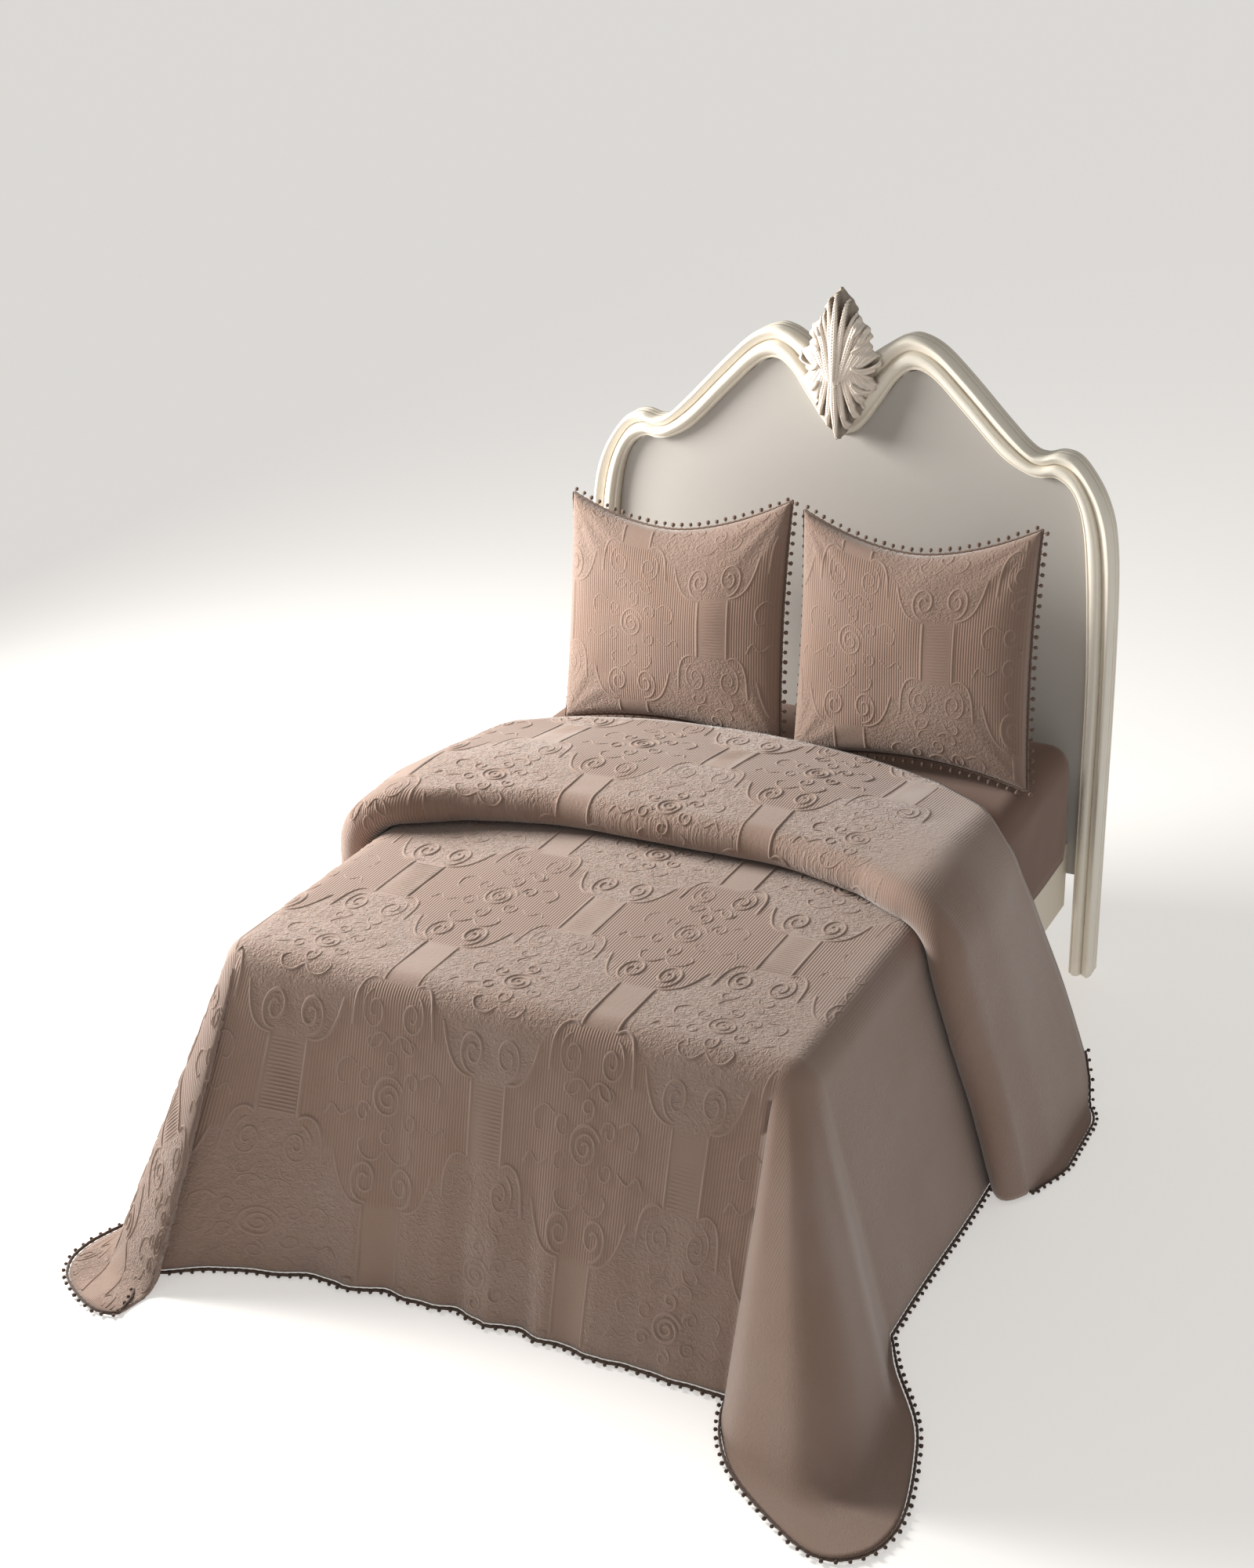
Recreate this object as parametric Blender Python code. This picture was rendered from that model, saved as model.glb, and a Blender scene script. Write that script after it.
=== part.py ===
# A quilted bedspread with two matching pillow shams, made up on a bed with a carved headboard.
# Metres, +Z up, +Y from the foot of the bed to the headboard.
# While it is modelled the foot edge of the mattress is y = 0 and the middle of the bed is x = 0.
# At the end every piece moves by one step, so that the middle of the whole outline is the origin.
import math

import bpy
from mathutils import Vector

# Bedspread
CLOTH = 0.006  # thickness of the quilted cloth
TOP = 0.733  # height of the middle of the cloth on the mattress
HALF = 0.735  # half the width that the cloth covers on top
ROUND = 0.07  # radius of the cloth over the mattress edge
FLOOR_GAP = 0.0008  # cloth on the floor is this far above it
FLAT = CLOTH / 2 + FLOOR_GAP  # height of the middle of the cloth on the floor
SIDE_REACH = 0.858  # where the side hem near the foot meets the floor
SIDE_START = 0.190  # the side hem begins this far along the bed
SIDE_GROWN = 0.870  # where the side hem under the band meets the floor
ROLL_REACH = 0.967  # where the front of the turned band meets the floor
BAND_REACH = 1.015  # where the rest of the turned band meets the floor
ROLL = 0.045  # radius of the rolled front of the turned band
TURN = 0.006  # radius of the hidden turn under the band
INNER = HALF - ROUND  # the flat part of the top ends here

# Trim
STRIP = 0.0055  # side of the braid
PLAY = 0.0005  # between the braid and the cloth
POM_WIDE = 0.013  # width of a pompom
POM_OUT = 0.012  # how far a pompom stands out
POM_STEP_HEM = 0.056
POM_STEP_BAND = 0.056
POMS_A_SIDE = 12  # pompoms along each edge of a sham

# Shams
SHAM_WIDE = 0.650
SHAM_HIGH = 0.665
SHAM_CROWN = 0.083  # half of the thickness in the middle
SHAM_LEAN = math.radians(17.0)
SHAM_FOOT_Y = 1.570
SHAM_LEFT_X = -0.333
SHAM_RIGHT_X = 0.357
SAG_TOP = 0.090
SAG_SIDE = 0.012
SAG_BOTTOM = 0.040
SLANT = 0.050  # the top of each sham has slid this far to the left
LEFT_TILT = 0.045  # the left end of the left sham's top is this much lower
RIGHT_TILT = 0.020

# Bed
MATTRESS_HALF = 0.7275
MATTRESS_TOP = TOP - CLOTH / 2 - 0.0003
MATTRESS_BOTTOM = 0.400
MATTRESS_FOOT = 0.0095
MATTRESS_HEAD = 1.985
MATTRESS_ROUND = 0.075
RAIL_HALF = 0.672
RAIL_THICK = 0.028
RAIL_TOP = 0.395
RAIL_BOTTOM = 0.200
LEG_SIDE = 0.060

# Headboard
BOARD_FRONT = 2.000
BOARD_BACK = 2.078
PANEL_FRONT = 2.036
PANEL_BACK = 2.060
PANEL_BOTTOM = 0.300
CREST_MID = 1.706
CREST_HALF_HIGH = 0.206
CREST_HALF_WIDE = 0.112
SHIFT_X = 0.012  # the headboard stands this far right of the middle of the bed

# Where the fallen cloth at each foot corner meets the floor, from the side round to the foot.
# out: across the bed, y: along it, turn: degrees from the side, lie: length lying on the floor
RIGHT_CORNER = (
    ("out", "y", "turn", "lie"),
    (SIDE_REACH, SIDE_START, 0.0, 0.000),
    (0.910, 0.085, 9.0, 0.020),
    (1.001, -0.058, 21.0, 0.060),
    (1.043, -0.175, 33.0, 0.100),
    (1.078, -0.340, 45.0, 0.150),
    (1.067, -0.443, 52.0, 0.170),
    (1.023, -0.499, 58.0, 0.170),
    (0.965, -0.514, 63.0, 0.160),
    (0.884, -0.478, 69.0, 0.120),
    (0.753, -0.387, 78.0, 0.060),
    (0.685, -0.312, 84.0, 0.020),
    (0.640, -0.225, 88.0, 0.000),
    (0.621, -0.150, 90.0, 0.000),
)
LEFT_CORNER = (
    ("out", "y", "turn", "lie"),
    (SIDE_REACH, SIDE_START, 0.0, 0.000),
    (0.885, 0.060, 8.0, 0.000),
    (0.930, -0.100, 24.0, 0.030),
    (0.975, -0.230, 36.0, 0.060),
    (0.980, -0.305, 43.0, 0.090),
    (0.960, -0.356, 49.0, 0.100),
    (0.930, -0.390, 55.0, 0.100),
    (0.860, -0.434, 64.0, 0.110),
    (0.795, -0.455, 72.0, 0.110),
    (0.752, -0.440, 77.0, 0.090),
    (0.750, -0.400, 80.0, 0.070),
    (0.770, -0.350, 85.0, 0.030),
    (0.795, -0.300, 90.0, 0.000),
)
# Foot hem. top: place on the mattress edge, hem: where the same thread meets the floor
FOOT_HEM = (
    ("top", "hem", "y"),
    (-0.665, -0.795, -0.300),
    (-0.540, -0.640, -0.212),
    (-0.400, -0.440, -0.152),
    (-0.200, -0.215, -0.130),
    (0.000, -0.010, -0.127),
    (0.220, 0.200, -0.137),
    (0.440, 0.410, -0.146),
    (0.665, 0.621, -0.150),
)
# The turned band. across: 0 middle of the bed, 1 its right edge, 2 the right hem, and less on the left
BAND = (
    ("across", "front", "back"),
    (-2.00, 0.800, 1.400),
    (-1.70, 0.760, 1.370),
    (-1.40, 0.700, 1.320),
    (-1.15, 0.668, 1.275),
    (-1.00, 0.708, 1.360),
    (-0.80, 0.788, 1.445),
    (-0.45, 0.855, 1.510),
    (0.00, 0.858, 1.525),
    (0.45, 0.855, 1.480),
    (0.80, 0.788, 1.395),
    (1.00, 0.708, 1.305),
    (1.15, 0.668, 1.215),
    (1.40, 0.700, 1.265),
    (1.70, 0.760, 1.330),
    (2.00, 0.800, 1.370),
)
# Half of the headboard's outline, from the crest to the floor
# out_x, out_z: outer edge, in_x, in_z: inner edge of the moulding
BOARD = (
    ("out_x", "out_z", "in_x", "in_z"),
    (0.000, 1.690, 0.000, 1.500),
    (0.060, 1.722, 0.050, 1.525),
    (0.120, 1.762, 0.105, 1.600),
    (0.160, 1.784, 0.150, 1.665),
    (0.205, 1.790, 0.197, 1.697),
    (0.270, 1.762, 0.255, 1.678),
    (0.350, 1.690, 0.345, 1.592),
    (0.455, 1.582, 0.450, 1.487),
    (0.525, 1.516, 0.520, 1.447),
    (0.565, 1.502, 0.560, 1.438),
    (0.610, 1.512, 0.600, 1.442),
    (0.655, 1.500, 0.640, 1.418),
    (0.700, 1.450, 0.667, 1.370),
    (0.737, 1.385, 0.684, 1.300),
    (0.762, 1.300, 0.695, 1.200),
    (0.776, 1.150, 0.705, 1.050),
    (0.782, 0.850, 0.714, 0.830),
    (0.782, 0.420, 0.714, 0.420),
    (0.782, 0.000, 0.714, 0.000),
)
# Section of the moulding from its outer to its inner edge. across: 0 outer, 1 inner
MOULDING = (
    ("across", "y"),
    (0.00, 2.020),
    (0.10, 2.003),
    (0.26, 2.000),
    (0.38, 2.013),
    (0.55, 2.019),
    (0.74, 2.014),
    (0.86, 2.006),
    (0.95, 2.013),
    (1.00, 2.030),
)


def limit(value, low, high):
    return max(low, min(high, value))


def ease(low, high, value):
    t = limit((value - low) / (high - low), 0.0, 1.0)
    return t * t * (3.0 - 2.0 * t)


def along(rows, name, t):
    """A smooth value of one column of a table, t from 0 at its first row to 1 at its last."""
    k = rows[0].index(name)
    values = [row[k] for row in rows[1:]]
    last = len(values) - 1
    place = limit(t, 0.0, 1.0) * last
    i = min(int(place), last - 1)
    f = place - i
    a, b = values[i], values[i + 1]
    before = values[i - 1] if i > 0 else 2 * a - b
    after = values[i + 2] if i + 2 <= last else 2 * b - a
    m0, m1 = (b - before) / 2, (after - a) / 2
    return (
        (2 * f**3 - 3 * f**2 + 1) * a
        + (f**3 - 2 * f**2 + f) * m0
        + (3 * f**2 - 2 * f**3) * b
        + (f**3 - f**2) * m1
    )


def at_value(rows, key, name, value):
    """A smooth value of a column where the key column has this value."""
    k = rows[0].index(key)
    keys = [row[k] for row in rows[1:]]
    last = len(keys) - 1
    value = limit(value, keys[0], keys[-1])
    i = 0
    while i < last - 1 and value > keys[i + 1]:
        i += 1
    f = (value - keys[i]) / (keys[i + 1] - keys[i])
    return along(rows, name, (i + f) / last)


def fall(reach, lie, rise):
    """Lengths of a fall of cloth from the top to the floor."""
    high = TOP - ROUND
    radius = ROUND + rise
    straight_line = math.hypot(reach, high - FLAT)
    turn = math.asin(radius / straight_line) + math.atan2(high - FLAT, reach)
    straight = math.sqrt(straight_line**2 - radius**2)
    soft = 0.001 + 0.06 * ease(0.0, 0.08, lie)
    cut = soft * math.tan(turn / 2)
    return high, radius, turn, straight, soft, cut


def fall_length(reach, lie, rise):
    high, radius, turn, straight, soft, cut = fall(reach, lie, rise)
    if lie <= 0.001:
        return radius * turn + straight - 0.010
    return radius * turn + straight - 2 * cut + soft * turn + lie


def fall_point(reach, lie, rise, s):
    """How far out and how high the cloth is at length s of its fall."""
    high, radius, turn, straight, soft, cut = fall(reach, lie, rise)
    if s <= radius * turn:
        a = s / radius
        return radius * math.sin(a), high + radius * math.cos(a)
    s -= radius * turn
    x = radius * math.sin(turn)
    z = high + radius * math.cos(turn)
    if s <= straight - cut:
        return x + s * math.cos(turn), z - s * math.sin(turn)
    x += (straight - cut) * math.cos(turn)
    s -= straight - cut
    if s <= soft * turn:
        a = turn - s / soft
        return (
            x + soft * (math.sin(turn) - math.sin(a)),
            FLAT + soft * (1 - math.cos(a)),
        )
    return x + soft * math.sin(turn) + (s - soft * turn), FLAT


def corner_point(rows, side, u, v):
    """A point of the cloth that falls round a foot corner, u from the side to the foot."""
    n = math.radians(along(rows, "turn", u))
    dx, dy = math.cos(n), -math.sin(n)
    hx = along(rows, "out", u) - INNER
    hy = along(rows, "y", u) - ROUND
    lie = max(0.0, along(rows, "lie", u))
    whole = hx * dx + hy * dy
    reach = max(whole - lie, ROUND + 0.012)
    lie = max(0.0, whole - reach)
    mx, my = hx - whole * dx, hy - whole * dy
    out, z = fall_point(reach, lie, 0.0, v * fall_length(reach, lie, 0.0))
    return Vector((side * (INNER + out * dx + mx * v), ROUND + out * dy + my * v, z))


def foot_point(t, v):
    """A point of the foot fall, t from the left to the right end of the mattress edge."""
    x = along(FOOT_HEM, "top", t)
    hem_x = along(FOOT_HEM, "hem", t)
    reach = ROUND - along(FOOT_HEM, "y", t)
    out, z = fall_point(reach, 0.0, 0.0, v * fall_length(reach, 0.0, 0.0))
    inside = math.sin(math.pi * limit(t, 0.0, 1.0))
    wave = 0.006 * math.sin(38.0 * x + 0.6) + 0.004 * math.sin(71.0 * x + 2.0)
    return Vector((x + (hem_x - x) * v, ROUND - out - wave * inside * v**2, z))


def side_point(side, y, v, rise, hem, lie, pull):
    """A point of a side fall of one layer, with its hem pulled along the bed at the foot."""
    reach = max(hem - lie - INNER, ROUND + rise + 0.012)
    out, z = fall_point(reach, lie, rise, v * fall_length(reach, lie, rise))
    return Vector((side * (INNER + out), y + pull * v, z))


def layer_row(kind, f, across):
    """Place along the bed and rise of one row of the cloth, at a place across the bed."""
    front = at_value(BAND, "across", "front", across)
    back = at_value(BAND, "across", "back", across)
    under = front + 0.30
    if kind == "base":
        return ROUND + (under - ROUND) * f, 0.0
    if kind == "turn":
        a = math.pi * f
        return under + TURN * math.sin(a), TURN * (1 - math.cos(a))
    if kind == "return":
        return under + (front + ROLL - under) * f, 2 * TURN
    if kind == "roll":
        a = math.pi * f
        return front + ROLL - ROLL * math.sin(a), 2 * TURN + ROLL * (1 - math.cos(a))
    full = 2 * TURN + 2 * ROLL
    rise = full + 0.008 * math.sin(math.pi * f) - 0.037 * ease(0.25, 1.0, f)
    return front + ROLL + (back - front - ROLL) * f, rise


def hem_of(kind, f):
    """Where a row's side hem meets the floor and how much of it lies there."""
    folded = SIDE_GROWN + 2 * TURN
    if kind == "base":
        return SIDE_REACH + (SIDE_GROWN - SIDE_REACH) * ease(0.1, 0.7, f), 0.0
    if kind == "turn":
        return SIDE_GROWN + 2 * TURN * f, 0.0
    if kind == "return":
        return folded, 0.0
    if kind == "roll":
        return folded + (ROLL_REACH - folded) * f, 0.0
    grown = ease(0.0, 0.35, f)
    return ROLL_REACH + (BAND_REACH - ROLL_REACH) * grown, 0.03 * grown


ROWS = (
    ("kind", "steps"),
    ("base", 8),
    ("turn", 3),
    ("return", 3),
    ("roll", 5),
    ("band", 7),
)
FALL_STEPS = (0.0, 0.04, 0.08, 0.12, 0.16, 0.30, 0.47, 0.64, 0.80, 0.92, 1.0)
TOP_COLUMNS = 10
CORNER_COLUMNS = 13


def row_list():
    rows = [("base", 0.0)]
    for kind, steps in ROWS[1:]:
        for i in range(steps):
            rows.append((kind, (i + 1) / steps))
    return rows


def band_end(kind, f):
    """Share of its fall that a row of the band keeps, for the rounded corner of the hem."""
    if kind != "band":
        return 1.0
    t = limit((f - 0.72) / 0.28, 0.0, 1.0)
    return 1.0 - 0.17 * (1.0 - math.sqrt(max(0.0, 1.0 - t * t)))


def spread_surface():
    """Points and faces of the middle of the cloth, and the lists of its hem points."""
    points, faces = [], []

    def add(point):
        points.append(point)
        return len(points) - 1

    grid = []
    for kind, f in row_list():
        line = []
        keep = band_end(kind, f)
        for side in (-1, 1):
            cells = []
            hem, lie = hem_of(kind, f)
            for v in FALL_STEPS[1:]:
                y, rise = layer_row(kind, f, side * (1.0 + v))
                pull = 0.0
                if kind == "base":
                    pull = (SIDE_START - ROUND) * (1.0 - ease(ROUND, 0.85, y))
                cells.append(add(side_point(side, y, v * keep, rise, hem, lie, pull)))
            line.append(cells)
        middle = []
        for j in range(TOP_COLUMNS + 1):
            x = -INNER + 2 * INNER * j / TOP_COLUMNS
            y, rise = layer_row(kind, f, x / INNER)
            middle.append(add(Vector((x, y, TOP + rise))))
        grid.append(line[0][::-1] + middle + line[1])
    for a, b in zip(grid, grid[1:]):
        for j in range(len(a) - 1):
            faces.append((a[j], a[j + 1], b[j + 1], b[j]))

    falls = len(FALL_STEPS) - 1
    first = grid[0]
    left_side = first[falls::-1]
    right_side = first[falls + TOP_COLUMNS :]
    foot = []
    for j in range(TOP_COLUMNS + 1):
        column = [first[falls + j]]
        for v in FALL_STEPS[1:]:
            column.append(add(foot_point(j / TOP_COLUMNS, v)))
        foot.append(column)
    for a, b in zip(foot, foot[1:]):
        for i in range(falls):
            faces.append((a[i + 1], b[i + 1], b[i], a[i]))

    hem = []
    for rows, side, start, end in (
        (LEFT_CORNER, -1, left_side, foot[0]),
        (RIGHT_CORNER, 1, right_side, foot[-1]),
    ):
        fans = [start]
        for k in range(1, CORNER_COLUMNS):
            column = [start[0]]
            for v in FALL_STEPS[1:]:
                column.append(add(corner_point(rows, side, k / CORNER_COLUMNS, v)))
            fans.append(column)
        fans.append(end)
        for a, b in zip(fans, fans[1:]):
            for i in range(falls):
                ring = [a[i], b[i], b[i + 1], a[i + 1]]
                if i == 0:
                    ring = [a[0], b[1], a[1]]
                if side < 0:
                    ring = ring[::-1]
                faces.append(tuple(ring))
        hem.append([column[-1] for column in fans])
    left_hem = [row[0] for row in grid]
    right_hem = [row[-1] for row in grid]
    foot_hem = [column[-1] for column in foot]
    return points, faces, grid, left_hem, right_hem, foot_hem, hem


def make(name, points, faces, colour, rough, metal=0.0):
    mesh = bpy.data.meshes.new(name)
    mesh.from_pydata([tuple(p) for p in points], [], [tuple(f) for f in faces])
    mesh.update()
    thing = bpy.data.objects.new(name, mesh)
    bpy.context.scene.collection.objects.link(thing)
    paint = bpy.data.materials.new(name + "_material")
    paint.use_nodes = True
    shader = paint.node_tree.nodes["Principled BSDF"]
    shader.inputs["Base Color"].default_value = (colour[0], colour[1], colour[2], 1.0)
    shader.inputs["Roughness"].default_value = rough
    shader.inputs["Metallic"].default_value = metal
    mesh.materials.append(paint)
    return thing


def thicken(points, faces, thick):
    """A closed solid around a sheet of faces."""
    normals = [Vector((0.0, 0.0, 0.0)) for _ in points]
    for face in faces:
        if len(face) == 4:
            a, b, c, d = (points[i] for i in face)
            normal = (c - a).cross(d - b)
        else:
            a, b, c = (points[i] for i in face)
            normal = (b - a).cross(c - a)
        for i in face:
            normals[i] += normal
    normals = [n.normalized() for n in normals]
    count = len(points)
    shell = [p + n * (thick / 2) for p, n in zip(points, normals)]
    shell += [p - n * (thick / 2) for p, n in zip(points, normals)]
    solid = [tuple(face) for face in faces]
    solid += [tuple(i + count for i in reversed(face)) for face in faces]
    directed = set()
    for face in faces:
        for i, j in zip(face, face[1:] + face[:1]):
            directed.add((i, j))
    for i, j in sorted(directed):
        if (j, i) not in directed:
            solid.append((j, i, i + count, j + count))
    return shell, solid


def poms_on_path(path, outs, ups, closed, step):
    """A four-sided braid along a path, with a fused pompom on every second piece of it."""
    total = 0.0
    lengths = [0.0]
    pairs = list(zip(path, path[1:] + path[:1])) if closed else list(zip(path, path[1:]))
    for a, b in pairs:
        total += (b - a).length
        lengths.append(total)

    def at(s, values):
        s = limit(s, 0.0, total - 1e-9)
        k = 0
        while lengths[k + 1] < s:
            k += 1
        f = (s - lengths[k]) / (lengths[k + 1] - lengths[k])
        return values[k].lerp(values[(k + 1) % len(values)], f)

    count = max(2, round(total / step))
    pace = total / count
    wide = POM_WIDE * 0.6
    marks = []
    for i in range(count):
        middle = i * pace + pace / 2
        marks.append((middle - wide / 2, True))
        marks.append((middle + wide / 2, False))
    for k in range(0 if closed else 1, len(pairs)):
        before = (pairs[k - 1][1] - pairs[k - 1][0]).normalized()
        after = (pairs[k][1] - pairs[k][0]).normalized()
        far = abs((lengths[k] - pace / 2 + pace * 0.5) % pace - pace * 0.5)
        if before.angle(after) > 0.05 and far > wide / 2 + 0.002:
            marks.append((lengths[k], False))
    if not closed:
        marks += [(0.002, False), (total - 0.002, False)]
    marks.sort()
    points, faces, rings, ways = [], [], [], []
    half = STRIP / 2
    for s, has_pom in marks:
        centre = at(s, path)
        out = at(s, outs).normalized()
        up = at(s, ups).normalized()
        rings.append(len(points))
        ways.append(out)
        for a, b in ((-1, -1), (1, -1), (1, 1), (-1, 1)):
            points.append(centre + out * half * a + up * half * b)
    joins = list(zip(rings, rings[1:] + rings[:1])) if closed else list(zip(rings, rings[1:]))
    for number, (a, b) in enumerate(joins):
        for k in range(4):
            m = (k + 1) % 4
            if k != 1 or not marks[number][1]:
                faces.append((a + k, a + m, b + m, b + k))
                continue
            corners = [points[a + k], points[a + m], points[b + m], points[b + k]]
            base = sum(corners, Vector((0, 0, 0))) / 4
            out = (ways[number] + ways[(number + 1) % len(ways)]).normalized()
            mid = len(points)
            for corner in corners:
                away = (corner - base).normalized()
                points.append(base + out * POM_OUT * 0.5 + away * POM_WIDE * 0.5)
            tip = len(points)
            points.append(base + out * POM_OUT)
            ring = (a + k, a + m, b + m, b + k)
            for q in range(4):
                r = (q + 1) % 4
                faces.append((ring[q], ring[r], mid + r, mid + q))
                faces.append((mid + q, mid + r, tip))
    if not closed:
        faces.append(tuple(rings[0] + k for k in (3, 2, 1, 0)))
        faces.append(tuple(rings[-1] + k for k in range(4)))
    return points, faces


def outward(thing):
    """Turns all faces of a closed solid outward."""
    mesh = thing.data
    volume = 0.0
    for polygon in mesh.polygons:
        corners = [mesh.vertices[i].co for i in polygon.vertices]
        for b, c in zip(corners[1:], corners[2:]):
            volume += corners[0].dot(b.cross(c))
    if volume < 0:
        mesh.flip_normals()
    mesh.update()
    return thing


def hem_path(points, neighbours, high):
    """Middle line of a braid just outside a hem, and its outward directions, all level."""
    gap = CLOTH / 2 + PLAY + STRIP / 2
    flat = [points[hem] for hem, before in neighbours]
    path, outs = [], []
    for i, (hem, before) in enumerate(neighbours):
        away = points[hem] - points[before]
        sides = []
        for a, b in ((i - 1, i), (i, i + 1)):
            if a < 0 or b >= len(flat):
                continue
            run = flat[b] - flat[a]
            square = Vector((run.y, -run.x, 0.0)).normalized()
            sides.append(square if square.dot(away) > 0 else -square)
        out = (sides[0] + sides[-1]).normalized()
        reach = gap / max(0.5, out.dot(sides[0]))
        place = points[hem] + out * reach
        path.append(Vector((place.x, place.y, max(place.z, high))))
        outs.append(out)
    return path, outs


def rounded_box(name, half_x, y0, y1, z0, z1, radius, steps, colour, rough):
    """A block with rounded upright and top edges."""
    def ring(inset, z):
        line = []
        r = max(radius - inset, 0.0005)
        for cx, cy, start in (
            (half_x - radius, y1 - radius, 0),
            (-half_x + radius, y1 - radius, 90),
            (-half_x + radius, y0 + radius, 180),
            (half_x - radius, y0 + radius, 270),
        ):
            for k in range(steps + 1):
                a = math.radians(start + 90 * k / steps)
                line.append(Vector((cx + r * math.cos(a), cy + r * math.sin(a), z)))
        return line

    rings = [ring(0.0, z0)]
    for k in range(steps + 1):
        a = math.radians(90 * k / steps)
        drop = radius * (1 - math.sin(a))
        rings.append(ring(radius * (1 - math.cos(a)) * 0.99, z1 - drop))
    count = len(rings[0])
    points = [p for line in rings for p in line]
    faces = [tuple(range(count))[::-1]]
    for k in range(len(rings) - 1):
        for i in range(count):
            j = (i + 1) % count
            a, b = k * count, (k + 1) * count
            faces.append((a + i, a + j, b + j, b + i))
    faces.append(tuple((len(rings) - 1) * count + i for i in range(count)))
    return make(name, points, faces, colour, rough)


def block(name, x0, x1, y0, y1, z0, z1, colour, rough):
    points = [Vector((x, y, z)) for z in (z0, z1) for y in (y0, y1) for x in (x0, x1)]
    faces = [
        (0, 2, 3, 1),
        (4, 5, 7, 6),
        (0, 1, 5, 4),
        (2, 6, 7, 3),
        (0, 4, 6, 2),
        (1, 3, 7, 5),
    ]
    return outward(make(name, points, faces, colour, rough))


def sham_edge(a, b, tilt):
    """Place in the seam plane of a sham, a and b from -1 to 1."""
    x = a * (SHAM_WIDE / 2 - SAG_SIDE * (1 - b * b)) - SLANT * b / 2
    up = 0.5 + 0.5 * b
    low = -SHAM_HIGH / 2 + SAG_BOTTOM * (1 - a * a)
    high = SHAM_HIGH / 2 - SAG_TOP * (1 - abs(a) ** 1.8) - tilt * (1 - a) / 2
    return x, low + (high - low) * up


def sham_frame(middle_x):
    up = Vector((0.0, math.sin(SHAM_LEAN), math.cos(SHAM_LEAN)))
    front = Vector((0.0, -math.cos(SHAM_LEAN), math.sin(SHAM_LEAN)))
    rise = STRIP + POM_OUT + PLAY + 0.004
    low = MATTRESS_TOP + (rise + SHAM_HIGH / 2) * math.cos(SHAM_LEAN)
    low += POM_WIDE / 2 * math.sin(SHAM_LEAN)
    centre = Vector((middle_x, SHAM_FOOT_Y + SHAM_HIGH / 2 * math.sin(SHAM_LEAN), low))
    return centre, up, front


def mattress_at(x):
    """Height of the mattress at a place across it."""
    past = limit(abs(x) - (MATTRESS_HALF - MATTRESS_ROUND), 0.0, MATTRESS_ROUND)
    return MATTRESS_TOP - MATTRESS_ROUND + math.sqrt(MATTRESS_ROUND**2 - past**2)


def make_sham(name, middle_x, colour, phase, tilt):
    centre, up, front = sham_frame(middle_x)
    side = Vector((1.0, 0.0, 0.0))
    steps = 12
    marks = [math.sin(math.pi * (k / steps - 0.5)) for k in range(steps + 1)]
    marks = [0.45 * (2 * k / steps - 1) + 0.55 * m for k, m in enumerate(marks)]
    points, faces, index = [], [], {}
    for face_side in (1, -1):
        for i, a in enumerate(marks):
            for j, b in enumerate(marks):
                x, z = sham_edge(a, b, tilt)
                full = max(0.0, (1 - a * a) * (1 - b * b))
                puff = SHAM_CROWN * full**0.42
                puff *= 1 + 0.05 * math.sin(3.1 * a + phase) * math.cos(2.3 * b - phase)
                point = centre + side * x + up * z + front * face_side * (puff + CLOTH / 2)
                index[face_side, i, j] = len(points)
                points.append(point)
    for face_side in (1, -1):
        for i in range(steps):
            for j in range(steps):
                ring = [
                    index[face_side, i, j],
                    index[face_side, i + 1, j],
                    index[face_side, i + 1, j + 1],
                    index[face_side, i, j + 1],
                ]
                faces.append(tuple(ring if face_side > 0 else ring[::-1]))
    edge = [(i, 0) for i in range(steps)] + [(steps, j) for j in range(steps)]
    edge += [(i, steps) for i in range(steps, 0, -1)] + [(0, j) for j in range(steps, 0, -1)]
    for (i, j), (m, n) in zip(edge, edge[1:] + edge[:1]):
        faces.append(
            (index[-1, i, j], index[-1, m, n], index[1, m, n], index[1, i, j])
        )
    sham = outward(make(name, points, faces, colour, 0.9))
    path = [sham_edge(marks[i], marks[j], tilt) for i, j in edge]
    line, outs, ups = [], [], []
    count = len(path)
    gap = PLAY + STRIP / 2
    for i in range(count):
        sides = []
        for a, b in ((i - 1, i), (i, (i + 1) % count)):
            run = Vector((path[b][0] - path[a][0], path[b][1] - path[a][1])).normalized()
            sides.append(Vector((run.y, -run.x)))
        out = (sides[0] + sides[1]).normalized()
        reach = gap / out.dot(sides[0])
        x, z = path[i][0] + out.x * reach, path[i][1] + out.y * reach
        line.append(centre + side * x + up * z)
        outs.append(side * out.x + up * out.y)
        ups.append(front)
    total = sum((b - a).length for a, b in zip(line, line[1:] + line[:1]))
    points, faces = poms_on_path(line, outs, ups, True, total / (4 * POMS_A_SIDE))
    return sham, points, faces


def board_line(steps):
    """Stations down the headboard's outline from left foot over the crest to the right foot."""
    marks = []
    for k in range(steps + 1):
        t = k / steps
        row = []
        for name in ("out_x", "out_z", "in_x", "in_z"):
            row.append(along(BOARD, name, t))
        marks.append(row)
    left = [(-r[0], r[1], -r[2], r[3]) for r in marks[::-1]]
    right = [tuple(r) for r in marks[1:]]
    return left + right


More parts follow.
